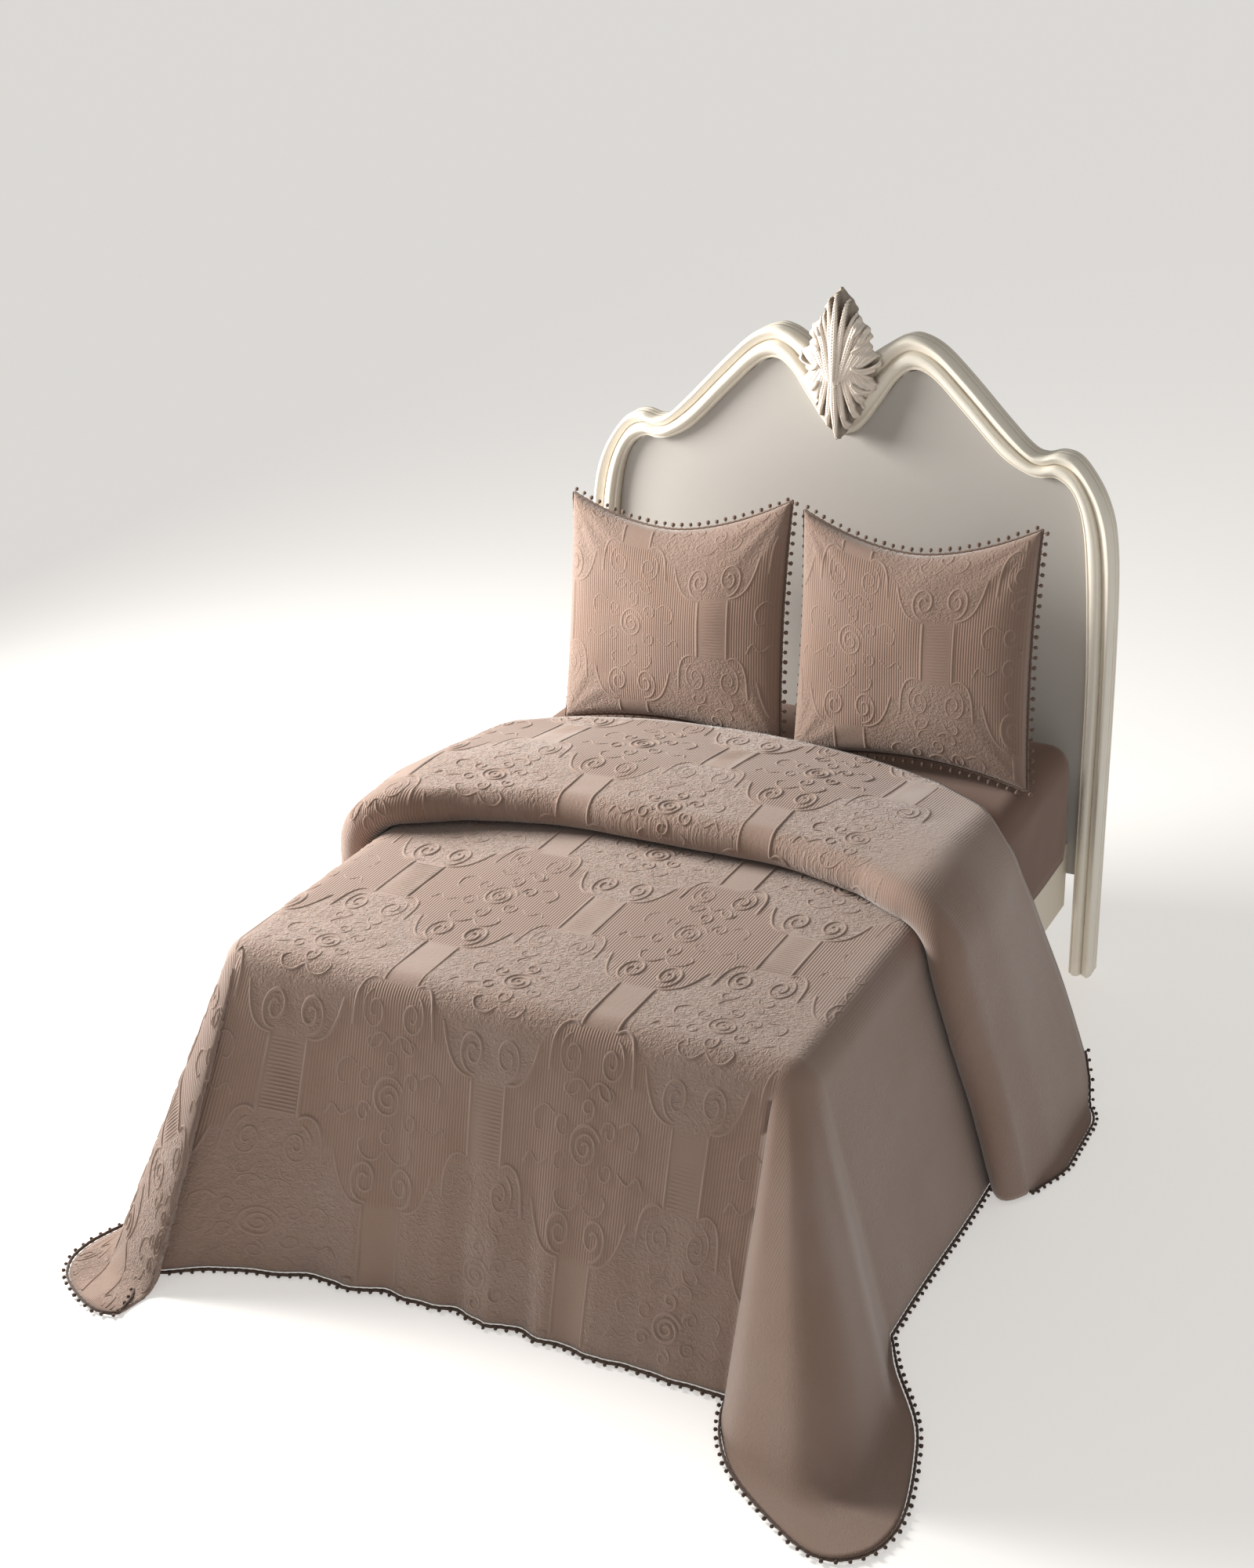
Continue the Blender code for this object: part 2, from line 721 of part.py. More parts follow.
def make_board():
    stations = board_line(30)
    section = [(row[0], row[1]) for row in MOULDING[1:]]
    section = section + [(1.0, BOARD_BACK), (0.0, BOARD_BACK)]
    points, faces = [], []
    width = len(section)
    for ox, oz, ix, iz in stations:
        for f, y in section:
            points.append(Vector((SHIFT_X + ox + (ix - ox) * f, y, oz + (iz - oz) * f)))
    for k in range(len(stations) - 1):
        a, b = k * width, (k + 1) * width
        for i in range(width):
            j = (i + 1) % width
            faces.append((a + i, a + j, b + j, b + i))
    faces.append(tuple(range(width))[::-1])
    faces.append(tuple(range(len(points) - width, len(points))))
    frame = outward(make("headboard_frame", points, faces, (0.72, 0.66, 0.55), 0.45))

    inner = [(s[2], s[3]) for s in stations if s[3] > PANEL_BOTTOM + 0.02]
    inner = [(inner[0][0], PANEL_BOTTOM)] + inner + [(inner[-1][0], PANEL_BOTTOM)]
    line = []
    for i, (x, z) in enumerate(inner):
        x0, z0 = inner[max(0, i - 1)]
        x1, z1 = inner[min(len(inner) - 1, i + 1)]
        run = Vector((x1 - x0, z1 - z0)).normalized()
        line.append((SHIFT_X + x + run.y * 0.0006, z - run.x * 0.0006))
    count = len(line)
    points = [Vector((x, PANEL_FRONT, z)) for x, z in line]
    points += [Vector((x, PANEL_BACK, z)) for x, z in line]
    faces = [tuple(range(count)), tuple(range(count, 2 * count))[::-1]]
    for i in range(count):
        j = (i + 1) % count
        faces.append((j, i, i + count, j + count))
    panel = outward(make("headboard_panel", points, faces, (0.50, 0.48, 0.46), 0.6))
    return frame, panel


def make_crest():
    """A carved diamond of leaves over the middle of the headboard."""
    across, high = 10, 16
    points, faces = [], []
    for j in range(high + 1):
        b = 2 * j / high - 1
        half = CREST_HALF_WIDE * (1 - abs(b) ** 1.25) ** 0.8
        half *= 1 + 0.10 * math.sin(5.5 * math.pi * b)
        half = max(half, 0.006)
        for i in range(across + 1):
            a = 2 * i / across - 1
            leaf = 0.012 * math.cos(3 * math.pi * a + 2.2 * b) * math.cos(2.5 * math.pi * b)
            spine = 0.018 * math.exp(-((a * 3.0) ** 2))
            body = 0.026 * (1 - abs(a) ** 2.4) * (0.45 + 0.55 * (1 - abs(b) ** 2))
            depth = 0.012 + body + spine * (1 - b * b) + leaf * (1 - a * a) * (1 - b * b)
            x = SHIFT_X + a * half
            points.append(Vector((x, BOARD_FRONT - 0.0008 - depth, CREST_MID + b * CREST_HALF_HIGH)))
    width = across + 1
    for j in range(high):
        for i in range(across):
            a = j * width + i
            faces.append((a, a + 1, a + 1 + width, a + width))
    edge = [i for i in range(width)]
    edge += [j * width + across for j in range(1, high + 1)]
    edge += [high * width + i for i in range(across - 1, -1, -1)]
    edge += [j * width for j in range(high - 1, 0, -1)]
    base = len(points)
    for i in edge:
        points.append(Vector((points[i].x, BOARD_FRONT - 0.0008, points[i].z)))
    count = len(edge)
    for k in range(count):
        m = (k + 1) % count
        faces.append((edge[m], edge[k], base + k, base + m))
    faces.append(tuple(base + k for k in range(count))[::-1])
    return outward(make("headboard_crest", points, faces, (0.66, 0.60, 0.52), 0.5))


for old in list(bpy.data.objects):
    bpy.data.objects.remove(old, do_unlink=True)

COVER = (0.255, 0.165, 0.125)
BRAID = (0.115, 0.072, 0.055)
SHEET = (0.225, 0.135, 0.105)
CREAM = (0.70, 0.64, 0.53)

surface, sheets, grid, left_hem, right_hem, foot_hem, corner_hems = spread_surface()
shell, solid = thicken(surface, sheets, CLOTH)
spread = outward(make("bedspread", shell, solid, COVER, 0.9))

base_steps = ROWS[1][1]
neighbours = []
for k in range(base_steps - 1, 0, -1):
    row = grid[k]
    neighbours.append((row[0], row[1]))
hems = [(hem, None) for hem in corner_hems[0]]
falls_count = len(FALL_STEPS) - 1
corner_starts = {}
for face in sheets:
    for i, j in zip(face, face[1:] + face[:1]):
        corner_starts.setdefault(i, set()).add(j)
        corner_starts.setdefault(j, set()).add(i)
rim = set(left_hem) | set(right_hem) | set(foot_hem) | set(corner_hems[0]) | set(corner_hems[1])
for hem_line in (corner_hems[0], foot_hem[1:-1], corner_hems[1][::-1]):
    for hem in hem_line:
        inside = [n for n in corner_starts[hem] if n not in rim]
        neighbours.append((hem, inside[0]))
for k in range(1, base_steps):
    row = grid[k]
    neighbours.append((row[-1], row[-2]))
trim_height = FLOOR_GAP + POM_WIDE / 2 * 0.75 + 0.0018
path, outs = hem_path(surface, neighbours, trim_height)
path = [Vector((p.x, p.y, trim_height)) for p in path]
ups = [Vector((0.0, 0.0, 1.0))] * len(path)
points, faces = poms_on_path(path, outs, ups, False, POM_STEP_HEM)
outward(make("hem_trim", points, faces, BRAID, 0.95))

for name, side in (("band_trim_left", 0), ("band_trim_right", -1)):
    inner_side = 1 if side == 0 else -2
    neighbours = []
    for k in range(len(grid) - ROWS[5][1], len(grid)):
        neighbours.append((grid[k][side], grid[k][inner_side]))
    path, outs = hem_path(surface, neighbours, trim_height)
    ups = []
    for i in range(len(path)):
        run = path[min(len(path) - 1, i + 1)] - path[max(0, i - 1)]
        run = run.normalized()
        outs[i] = (outs[i] - run * outs[i].dot(run)).normalized()
        up = run.cross(outs[i])
        ups.append(up if up.z > 0 else -up)
    points, faces = poms_on_path(path, outs, ups, False, POM_STEP_BAND)
    outward(make(name, points, faces, BRAID, 0.95))

for name, middle_x, phase, tilt in (
    ("sham_left", SHAM_LEFT_X, 0.4, LEFT_TILT),
    ("sham_right", SHAM_RIGHT_X, 1.7, RIGHT_TILT),
):
    sham, points, faces = make_sham(name, middle_x, COVER, phase, tilt)
    trim = outward(make(name + "_trim", points, faces, BRAID, 0.95))
    clear = min(v.co.z - mattress_at(v.co.x) for thing in (sham, trim) for v in thing.data.vertices)
    for thing in (sham, trim):
        for vertex in thing.data.vertices:
            vertex.co.z += 0.0003 - clear

outward(
    rounded_box(
        "mattress",
        MATTRESS_HALF,
        MATTRESS_FOOT,
        MATTRESS_HEAD,
        MATTRESS_BOTTOM,
        MATTRESS_TOP,
        MATTRESS_ROUND,
        5,
        SHEET,
        0.9,
    )
)
block("slat_deck", -0.6714, 0.6714, 0.060, 1.98, 0.360, 0.3997, (0.45, 0.34, 0.22), 0.7)
for name, side in (("side_rail_left", -1), ("side_rail_right", 1)):
    x0, x1 = sorted((side * (RAIL_HALF - 0.0003), side * (RAIL_HALF + RAIL_THICK)))
    block(name, x0, x1, 0.060, PANEL_FRONT - 0.0003, RAIL_BOTTOM, RAIL_TOP, CREAM, 0.5)
block(
    "foot_rail",
    -RAIL_HALF - RAIL_THICK,
    RAIL_HALF + RAIL_THICK,
    0.031,
    0.0597,
    RAIL_BOTTOM,
    RAIL_TOP,
    CREAM,
    0.5,
)
for name, side in (("foot_leg_left", -1), ("foot_leg_right", 1)):
    x0, x1 = sorted((side * 0.640, side * (0.640 + LEG_SIDE)))
    block(name, x0, x1, 0.040, 0.100, 0.0, RAIL_BOTTOM - 0.0003, CREAM, 0.5)
block("centre_leg", -0.03, 0.03, 1.0, 1.06, 0.0, 0.3597, CREAM, 0.5)
make_board()
make_crest()

lows, highs = [1e9] * 3, [-1e9] * 3
for thing in bpy.data.objects:
    for vertex in thing.data.vertices:
        for k in range(3):
            lows[k] = min(lows[k], vertex.co[k])
            highs[k] = max(highs[k], vertex.co[k])
step = Vector((-(lows[0] + highs[0]) / 2, -(lows[1] + highs[1]) / 2, -lows[2]))
for thing in bpy.data.objects:
    for vertex in thing.data.vertices:
        vertex.co = vertex.co + step
    thing.data.update()
print("moved by", tuple(round(v, 5) for v in step))
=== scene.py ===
import math

import bpy
import numpy as np
from mathutils import Matrix, Vector, noise


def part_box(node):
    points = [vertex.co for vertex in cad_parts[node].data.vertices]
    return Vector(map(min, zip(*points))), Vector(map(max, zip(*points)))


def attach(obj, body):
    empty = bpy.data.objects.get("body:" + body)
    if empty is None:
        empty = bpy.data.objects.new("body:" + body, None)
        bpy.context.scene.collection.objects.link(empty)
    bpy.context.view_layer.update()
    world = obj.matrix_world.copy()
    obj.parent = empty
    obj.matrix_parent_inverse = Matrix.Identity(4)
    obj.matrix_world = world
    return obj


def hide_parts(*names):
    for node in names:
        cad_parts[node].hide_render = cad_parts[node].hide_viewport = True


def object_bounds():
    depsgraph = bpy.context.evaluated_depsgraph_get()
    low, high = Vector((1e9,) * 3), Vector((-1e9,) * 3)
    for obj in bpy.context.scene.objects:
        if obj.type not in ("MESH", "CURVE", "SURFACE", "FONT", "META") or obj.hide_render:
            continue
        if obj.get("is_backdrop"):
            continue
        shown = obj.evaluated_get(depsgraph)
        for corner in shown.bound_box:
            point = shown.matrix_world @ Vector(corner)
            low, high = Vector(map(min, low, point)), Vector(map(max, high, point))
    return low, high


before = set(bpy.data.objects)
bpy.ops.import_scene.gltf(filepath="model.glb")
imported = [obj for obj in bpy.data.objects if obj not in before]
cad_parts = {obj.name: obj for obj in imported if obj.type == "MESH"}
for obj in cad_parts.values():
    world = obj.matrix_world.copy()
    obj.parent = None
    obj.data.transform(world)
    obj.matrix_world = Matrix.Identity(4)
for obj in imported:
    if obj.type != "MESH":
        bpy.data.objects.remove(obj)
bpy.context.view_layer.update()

# The bed's own frame: foot edge of the mattress at y = 0, its middle at x = 0.
MAT_LOW, MAT_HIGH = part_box("mattress")
MOVE = Vector(((MAT_LOW.x + MAT_HIGH.x) / 2, MAT_LOW.y - 0.0095, 0.0))

CLOTH = 0.006
TOP = 0.733
HALF = 0.735
ROUND = 0.07
FLAT = CLOTH / 2 + 0.0008
SIDE_REACH = 0.858
SIDE_START = 0.190
SIDE_GROWN = 0.870
ROLL_REACH = 0.967
BAND_REACH = 1.015
ROLL = 0.045
TURN = 0.006
INNER = HALF - ROUND
MATTRESS_TOP = TOP - CLOTH / 2 - 0.0003

RIGHT_CORNER = (
    ("out", "y", "turn", "lie"),
    (SIDE_REACH, SIDE_START, 0.0, 0.000),
    (0.910, 0.085, 9.0, 0.020),
    (1.001, -0.058, 21.0, 0.060),
    (1.043, -0.175, 33.0, 0.100),
    (1.078, -0.340, 45.0, 0.150),
    (1.067, -0.443, 52.0, 0.170),
    (1.023, -0.499, 58.0, 0.170),
    (0.965, -0.514, 63.0, 0.160),
    (0.884, -0.478, 69.0, 0.120),
    (0.753, -0.387, 78.0, 0.060),
    (0.685, -0.312, 84.0, 0.020),
    (0.640, -0.225, 88.0, 0.000),
    (0.621, -0.150, 90.0, 0.000),
)
LEFT_CORNER = (
    ("out", "y", "turn", "lie"),
    (SIDE_REACH, SIDE_START, 0.0, 0.000),
    (0.885, 0.060, 8.0, 0.000),
    (0.930, -0.100, 24.0, 0.030),
    (0.975, -0.230, 36.0, 0.060),
    (0.980, -0.305, 43.0, 0.090),
    (0.960, -0.356, 49.0, 0.100),
    (0.930, -0.390, 55.0, 0.100),
    (0.860, -0.434, 64.0, 0.110),
    (0.795, -0.455, 72.0, 0.110),
    (0.752, -0.440, 77.0, 0.090),
    (0.750, -0.400, 80.0, 0.070),
    (0.770, -0.350, 85.0, 0.030),
    (0.795, -0.300, 90.0, 0.000),
)
FOOT_HEM = (
    ("top", "hem", "y"),
    (-0.665, -0.795, -0.300),
    (-0.540, -0.640, -0.212),
    (-0.400, -0.440, -0.152),
    (-0.200, -0.215, -0.130),
    (0.000, -0.010, -0.127),
    (0.220, 0.200, -0.137),
    (0.440, 0.410, -0.146),
    (0.665, 0.621, -0.150),
)
BAND = (
    ("across", "front", "back"),
    (-2.00, 0.800, 1.400),
    (-1.70, 0.760, 1.370),
    (-1.40, 0.700, 1.320),
    (-1.15, 0.668, 1.275),
    (-1.00, 0.708, 1.360),
    (-0.80, 0.788, 1.445),
    (-0.45, 0.855, 1.510),
    (0.00, 0.858, 1.525),
    (0.45, 0.855, 1.480),
    (0.80, 0.788, 1.395),
    (1.00, 0.708, 1.305),
    (1.15, 0.668, 1.215),
    (1.40, 0.700, 1.265),
    (1.70, 0.760, 1.330),
    (2.00, 0.800, 1.370),
)


def limit(value, low, high):
    return max(low, min(high, value))


def ease(low, high, value):
    t = limit((value - low) / (high - low), 0.0, 1.0)
    return t * t * (3.0 - 2.0 * t)


COLUMNS = {}


def along(rows, name, t):
    key = (id(rows), name)
    if key not in COLUMNS:
        k = rows[0].index(name)
        COLUMNS[key] = [row[k] for row in rows[1:]]
    values = COLUMNS[key]
    last = len(values) - 1
    place = limit(t, 0.0, 1.0) * last
    i = min(int(place), last - 1)
    f = place - i
    a, b = values[i], values[i + 1]
    before = values[i - 1] if i > 0 else 2 * a - b
    after = values[i + 2] if i + 2 <= last else 2 * b - a
    m0, m1 = (b - before) / 2, (after - a) / 2
    g, h = f * f, f * f * f
    return (2 * h - 3 * g + 1) * a + (h - 2 * g + f) * m0 + (3 * g - 2 * h) * b + (h - g) * m1


def at_value(rows, key, name, value):
    k = rows[0].index(key)
    keys = [row[k] for row in rows[1:]]
    last = len(keys) - 1
    value = limit(value, keys[0], keys[-1])
    i = 0
    while i < last - 1 and value > keys[i + 1]:
        i += 1
    f = (value - keys[i]) / (keys[i + 1] - keys[i])
    return along(rows, name, (i + f) / last)


FALLS = {}


def fall(reach, lie, rise):
    key = (round(reach, 6), round(lie, 6), round(rise, 6))
    if key not in FALLS:
        high = TOP - ROUND
        radius = ROUND + rise
        line = math.hypot(reach, high - FLAT)
        turn = math.asin(radius / line) + math.atan2(high - FLAT, reach)
        straight = math.sqrt(line**2 - radius**2)
        soft = 0.001 + 0.06 * ease(0.0, 0.08, lie)
        cut = soft * math.tan(turn / 2)
        if lie <= 0.001:
            length = radius * turn + straight - 0.010
        else:
            length = radius * turn + straight - 2 * cut + soft * turn + lie
        FALLS[key] = (high, radius, turn, straight, soft, cut, length)
    return FALLS[key]


def fall_point(reach, lie, rise, s):
    high, radius, turn, straight, soft, cut, length = fall(reach, lie, rise)
    if s <= radius * turn:
        a = s / radius
        return radius * math.sin(a), high + radius * math.cos(a)
    s -= radius * turn
    x = radius * math.sin(turn)
    z = high + radius * math.cos(turn)
    if s <= straight - cut:
        return x + s * math.cos(turn), z - s * math.sin(turn)
    x += (straight - cut) * math.cos(turn)
    s -= straight - cut
    if s <= soft * turn:
        a = turn - s / soft
        return x + soft * (math.sin(turn) - math.sin(a)), FLAT + soft * (1 - math.cos(a))
    return x + soft * math.sin(turn) + (s - soft * turn), FLAT


def corner_parts(rows, u):
    n = math.radians(along(rows, "turn", u))
    dx, dy = math.cos(n), -math.sin(n)
    hx = along(rows, "out", u) - INNER
    hy = along(rows, "y", u) - ROUND
    lie = max(0.0, along(rows, "lie", u))
    whole = hx * dx + hy * dy
    reach = max(whole - lie, ROUND + 0.012)
    lie = max(0.0, whole - reach)
    return dx, dy, hx - whole * dx, hy - whole * dy, reach, lie


CORNERS = {}


def corner_point(rows, side, u, v=None, arc=None):
    key = (id(rows), round(u, 7))
    if key not in CORNERS:
        CORNERS[key] = corner_parts(rows, u)
    dx, dy, mx, my, reach, lie = CORNERS[key]
    length = fall(reach, lie, 0.0)[6]
    if arc is not None:
        v = arc / length
        if v > 0.995:
            return None
    out, z = fall_point(reach, lie, 0.0, v * length)
    return Vector((side * (INNER + out * dx + mx * v), ROUND + out * dy + my * v, z))


def foot_wave(x, t, v):
    inside = math.sin(math.pi * limit(t, 0.0, 1.0))
    wave = 0.006 * math.sin(38.0 * x + 0.6) + 0.004 * math.sin(71.0 * x + 2.0)
    wave = wave * inside * v**2
    for place, wide, deep in ((-0.31, 0.022, 0.012), (0.04, 0.020, 0.014), (0.30, 0.026, 0.013)):
        wave += deep * math.exp(-(((x - place) / wide) ** 2)) * ease(0.45, 1.0, v)
    return wave


def foot_point(t, v=None, arc=None):
    x = along(FOOT_HEM, "top", t)
    hem_x = along(FOOT_HEM, "hem", t)
    reach = ROUND - along(FOOT_HEM, "y", t)
    length = fall(reach, 0.0, 0.0)[6]
    if arc is not None:
        v = arc / length
        if v > 0.99:
            return None
    out, z = fall_point(reach, 0.0, 0.0, v * length)
    return Vector((x + (hem_x - x) * v, ROUND - out - foot_wave(x, t, v), z))


def side_point(side, y, v, rise, hem, lie, pull, arc=None):
    reach = max(hem - lie - INNER, ROUND + rise + 0.012)
    length = fall(reach, lie, rise)[6]
    if arc is not None:
        v = arc / length
        if v > 0.99:
            return None
    out, z = fall_point(reach, lie, rise, v * length)
    return Vector((side * (INNER + out), y + pull * v, z))


def layer_row(kind, f, across):
    front = at_value(BAND, "across", "front", across)
    back = at_value(BAND, "across", "back", across)
    under = front + 0.30
    if kind == "base":
        return ROUND + (under - ROUND) * f, 0.0
    if kind == "turn":
        a = math.pi * f
        return under + TURN * math.sin(a), TURN * (1 - math.cos(a))
    if kind == "return":
        return under + (front + ROLL - under) * f, 2 * TURN
    if kind == "roll":
        a = math.pi * f
        return front + ROLL - ROLL * math.sin(a), 2 * TURN + ROLL * (1 - math.cos(a))
    full = 2 * TURN + 2 * ROLL
    rise = full + 0.008 * math.sin(math.pi * f) - 0.037 * ease(0.25, 1.0, f)
    return front + ROLL + (back - front - ROLL) * f, rise


def hem_of(kind, f):
    folded = SIDE_GROWN + 2 * TURN
    if kind == "base":
        return SIDE_REACH + (SIDE_GROWN - SIDE_REACH) * ease(0.1, 0.7, f), 0.0
    if kind == "turn":
        return SIDE_GROWN + 2 * TURN * f, 0.0
    if kind == "return":
        return folded, 0.0
    if kind == "roll":
        return folded + (ROLL_REACH - folded) * f, 0.0
    grown = ease(0.0, 0.35, f)
    return ROLL_REACH + (BAND_REACH - ROLL_REACH) * grown, 0.03 * grown


def band_end(kind, f):
    if kind != "band":
        return 1.0
    t = limit((f - 0.72) / 0.28, 0.0, 1.0)
    return 1.0 - 0.17 * (1.0 - math.sqrt(max(0.0, 1.0 - t * t)))


def base_pull(y):
    return (SIDE_START - ROUND) * (1.0 - ease(ROUND, 0.85, y))


TOP_MARKS = np.linspace(0, 1, 401)
TOP_VALUES = [along(FOOT_HEM, "top", float(t)) for t in TOP_MARKS]


def cloth_at(s, t):
    """A point of the lower layer at its flat place: s across the bed, t along it."""
    side = 1 if s > 0 else -1
    a = abs(s) - INNER
    if a <= 0 and t >= ROUND:
        return Vector((s, t, TOP))
    if a <= 0:
        return foot_point(float(np.interp(s, TOP_VALUES, TOP_MARKS)), arc=ROUND - t)
    if t >= ROUND:
        f = limit((t - ROUND) / 0.95, 0.0, 1.0)
        hem, lie = hem_of("base", f)
        return side_point(side, t, None, 0.0, hem, lie, base_pull(t), arc=a)
    b = ROUND - t
    rows = LEFT_CORNER if side < 0 else RIGHT_CORNER
    return corner_point(rows, side, math.atan2(b, a) / (math.pi / 2), arc=math.hypot(a, b))


BAND_FALL = 0.86


def band_at(s, t):
    """A point of the turned band, t measured like the place along the bed."""
    side = 1 if s > 0 else -1
    a = abs(s) - INNER
    across = s / INNER if a <= 0 else side * (1.0 + limit(a / BAND_FALL, 0.0, 1.0))
    front = at_value(BAND, "across", "front", across)
    back = at_value(BAND, "across", "back", across)
    if t < front + ROLL:
        angle = math.pi - (front + ROLL - t) / ROLL
        if angle < 0.9:
            return None
        kind, f = "roll", angle / math.pi
    else:
        kind, f = "band", (t - front - ROLL) / (back - front - ROLL)
        if f > 0.985:
            return None
    y, rise = layer_row(kind, f, across)
    if a <= 0:
        return Vector((s, y, TOP + rise))
    hem, lie = hem_of(kind, f)
    point = side_point(side, y, None, rise, hem, lie, 0.0, arc=a)
    if point is not None and a / BAND_FALL > band_end(kind, f) * 0.96:
        return None
    return point


def steps(parts):
    """Values from 0 to 1 with the given counts between marks."""
    values = [parts[0][0]]
    for (a, _), (b, n) in zip(parts, parts[1:]):
        values += [a + (b - a) * (k + 1) / n for k in range(n)]
    return values


FALL_STEPS = steps([(0.0, 0), (0.16, 12), (0.90, 26), (1.0, 7)])
TOP_COLUMNS = 76
CORNER_COLUMNS = 44
ROWS = (("base", 58), ("turn", 4), ("return", 6), ("roll", 12), ("band", 32))


def soft(s, t, k):
    """Small unevenness of the cloth."""
    return 0.0016 * noise.noise(Vector((s * 5.0, t * 5.0, k))) + 0.0007 * noise.noise(
        Vector((s * 17.0, t * 17.0, k + 3.0))
    )


def spread_surface():
    points, flat, extra, faces = [], [], [], []

    def add(point, s, t, layer):
        points.append(point)
        flat.append((s, t))
        extra.append(layer)
        return len(points) - 1

    rows = [("base", 0.0)]
    for kind, n in ROWS:
        rows += [(kind, (i + 1) / n) for i in range(n)]
    grid = []
    for kind, f in rows:
        layer = 1.0 if kind in ("roll", "band") else 0.0
        line = []
        keep = band_end(kind, f)
        for side in (-1, 1):
            cells = []
            hem, lie = hem_of(kind, f)
            for v in FALL_STEPS[1:]:
                y, rise = layer_row(kind, f, side * (1.0 + v))
                pull = base_pull(y) if kind == "base" else 0.0
                reach = max(hem - lie - INNER, ROUND + rise + 0.012)
                arc = v * keep * fall(reach, lie, rise)[6]
                t = y
                if kind == "roll":
                    t = y - ROLL
                cells.append(
                    add(
                        side_point(side, y, v * keep, rise, hem, lie, pull),
                        side * (INNER + arc),
                        t,
                        layer,
                    )
                )
            line.append(cells)
        middle = []
        for j in range(TOP_COLUMNS + 1):
            x = -INNER + 2 * INNER * j / TOP_COLUMNS
            y, rise = layer_row(kind, f, x / INNER)
            middle.append(add(Vector((x, y, TOP + rise)), x, y, layer))
        grid.append(line[0][::-1] + middle + line[1])
    for a, b in zip(grid, grid[1:]):
        for j in range(len(a) - 1):
            faces.append((a[j], a[j + 1], b[j + 1], b[j]))
    falls = len(FALL_STEPS) - 1
    first = grid[0]
    left_side = first[falls::-1]
    right_side = first[falls + TOP_COLUMNS :]
    foot = []
    for j in range(TOP_COLUMNS + 1):
        x = -INNER + 2 * INNER * j / TOP_COLUMNS
        t = float(np.interp(x, TOP_VALUES, TOP_MARKS))
        length = fall(ROUND - along(FOOT_HEM, "y", t), 0.0, 0.0)[6]
        column = [first[falls + j]]
        for v in FALL_STEPS[1:]:
            column.append(add(foot_point(t, v), x, ROUND - v * length, 0.0))
        foot.append(column)
    for a, b in zip(foot, foot[1:]):
        for i in range(falls):
            faces.append((a[i + 1], b[i + 1], b[i], a[i]))
    hems = []
    for rows_, side, start, end in (
        (LEFT_CORNER, -1, left_side, foot[0]),
        (RIGHT_CORNER, 1, right_side, foot[-1]),
    ):
        fans = [start]
        for k in range(1, CORNER_COLUMNS):
            u = k / CORNER_COLUMNS
            parts = corner_parts(rows_, u)
            length = fall(parts[4], parts[5], 0.0)[6]
            angle = u * math.pi / 2
            column = [start[0]]
            for v in FALL_STEPS[1:]:
                r = v * length
                column.append(
                    add(
                        corner_point(rows_, side, u, v),
                        side * (INNER + r * math.cos(angle)),
                        ROUND - r * math.sin(angle),
                        0.0,
                    )
                )
            fans.append(column)
        fans.append(end)
        for a, b in zip(fans, fans[1:]):
            for i in range(falls):
                ring = [a[i], b[i], b[i + 1], a[i + 1]]
                if i == 0:
                    ring = [a[0], b[1], a[1]]
                if side < 0:
                    ring = ring[::-1]
                faces.append(tuple(ring))
        hems.append([column[-1] for column in fans])
    return points, flat, extra, faces, grid, foot, hems


def normals_of(points, faces):
    normals = [Vector((0.0, 0.0, 0.0)) for _ in points]
    for face in faces:
        if len(face) == 4:
            a, b, c, d = (points[i] for i in face)
            normal = (c - a).cross(d - b)
        else:
            a, b, c = (points[i] for i in face)
            normal = (b - a).cross(c - a)
        for i in face:
            normals[i] += normal
    return [n.normalized() for n in normals]


def thicken(points, faces, thick):
    normals = normals_of(points, faces)
    count = len(points)
    shell = [p + n * (thick / 2) for p, n in zip(points, normals)]
    shell += [p - n * (thick / 2) for p, n in zip(points, normals)]
    solid = [tuple(face) for face in faces]
    solid += [tuple(i + count for i in reversed(face)) for face in faces]
    directed = set()
    for face in faces:
        for i, j in zip(face, tuple(face[1:]) + tuple(face[:1])):
            directed.add((i, j))
    for i, j in sorted(directed):
        if (j, i) not in directed:
            solid.append((j, i, i + count, j + count))
    return shell, solid


def make(name, points, faces, material, smooth=True, move=True):
    mesh = bpy.data.meshes.new(name)
    shift = MOVE if move else Vector((0, 0, 0))
    mesh.from_pydata([tuple(p + shift) for p in points], [], [tuple(f) for f in faces])
    mesh.update()
    if smooth:
        mesh.polygons.foreach_set("use_smooth", [True] * len(mesh.polygons))
    thing = bpy.data.objects.new(name, mesh)
    bpy.context.scene.collection.objects.link(thing)
    if material is not None:
        mesh.materials.append(material)
    return thing


def facing_out(thing):
    mesh = thing.data
    mesh.calc_loop_triangles()
    co = np.array([v.co for v in mesh.vertices])
    tri = np.array([t.vertices for t in mesh.loop_triangles])
    a, b, c = co[tri[:, 0]], co[tri[:, 1]], co[tri[:, 2]]
    if (a * np.cross(b, c)).sum() < 0:
        mesh.flip_normals()
    return thing


# ---------------------------------------------------------------- materials


def nodes_of(name):
    material = bpy.data.materials.new(name)
    material.use_nodes = True
    tree = material.node_tree
    return material, tree, tree.nodes["Principled BSDF"]


def add_node(tree, kind, values=(), **settings):
    node = tree.nodes.new(kind)
    for key, value in settings.items():
        setattr(node, key, value)
    for key, value in values:
        if hasattr(value, "is_output"):
            tree.links.new(value, node.inputs[key])
        else:
            node.inputs[key].default_value = value
    return node


def maths(tree, operation, a, b=0.0, clamp=False):
    node = add_node(tree, "ShaderNodeMath", ((0, a), (1, b)), operation=operation)
    node.use_clamp = clamp
    return node.outputs[0]


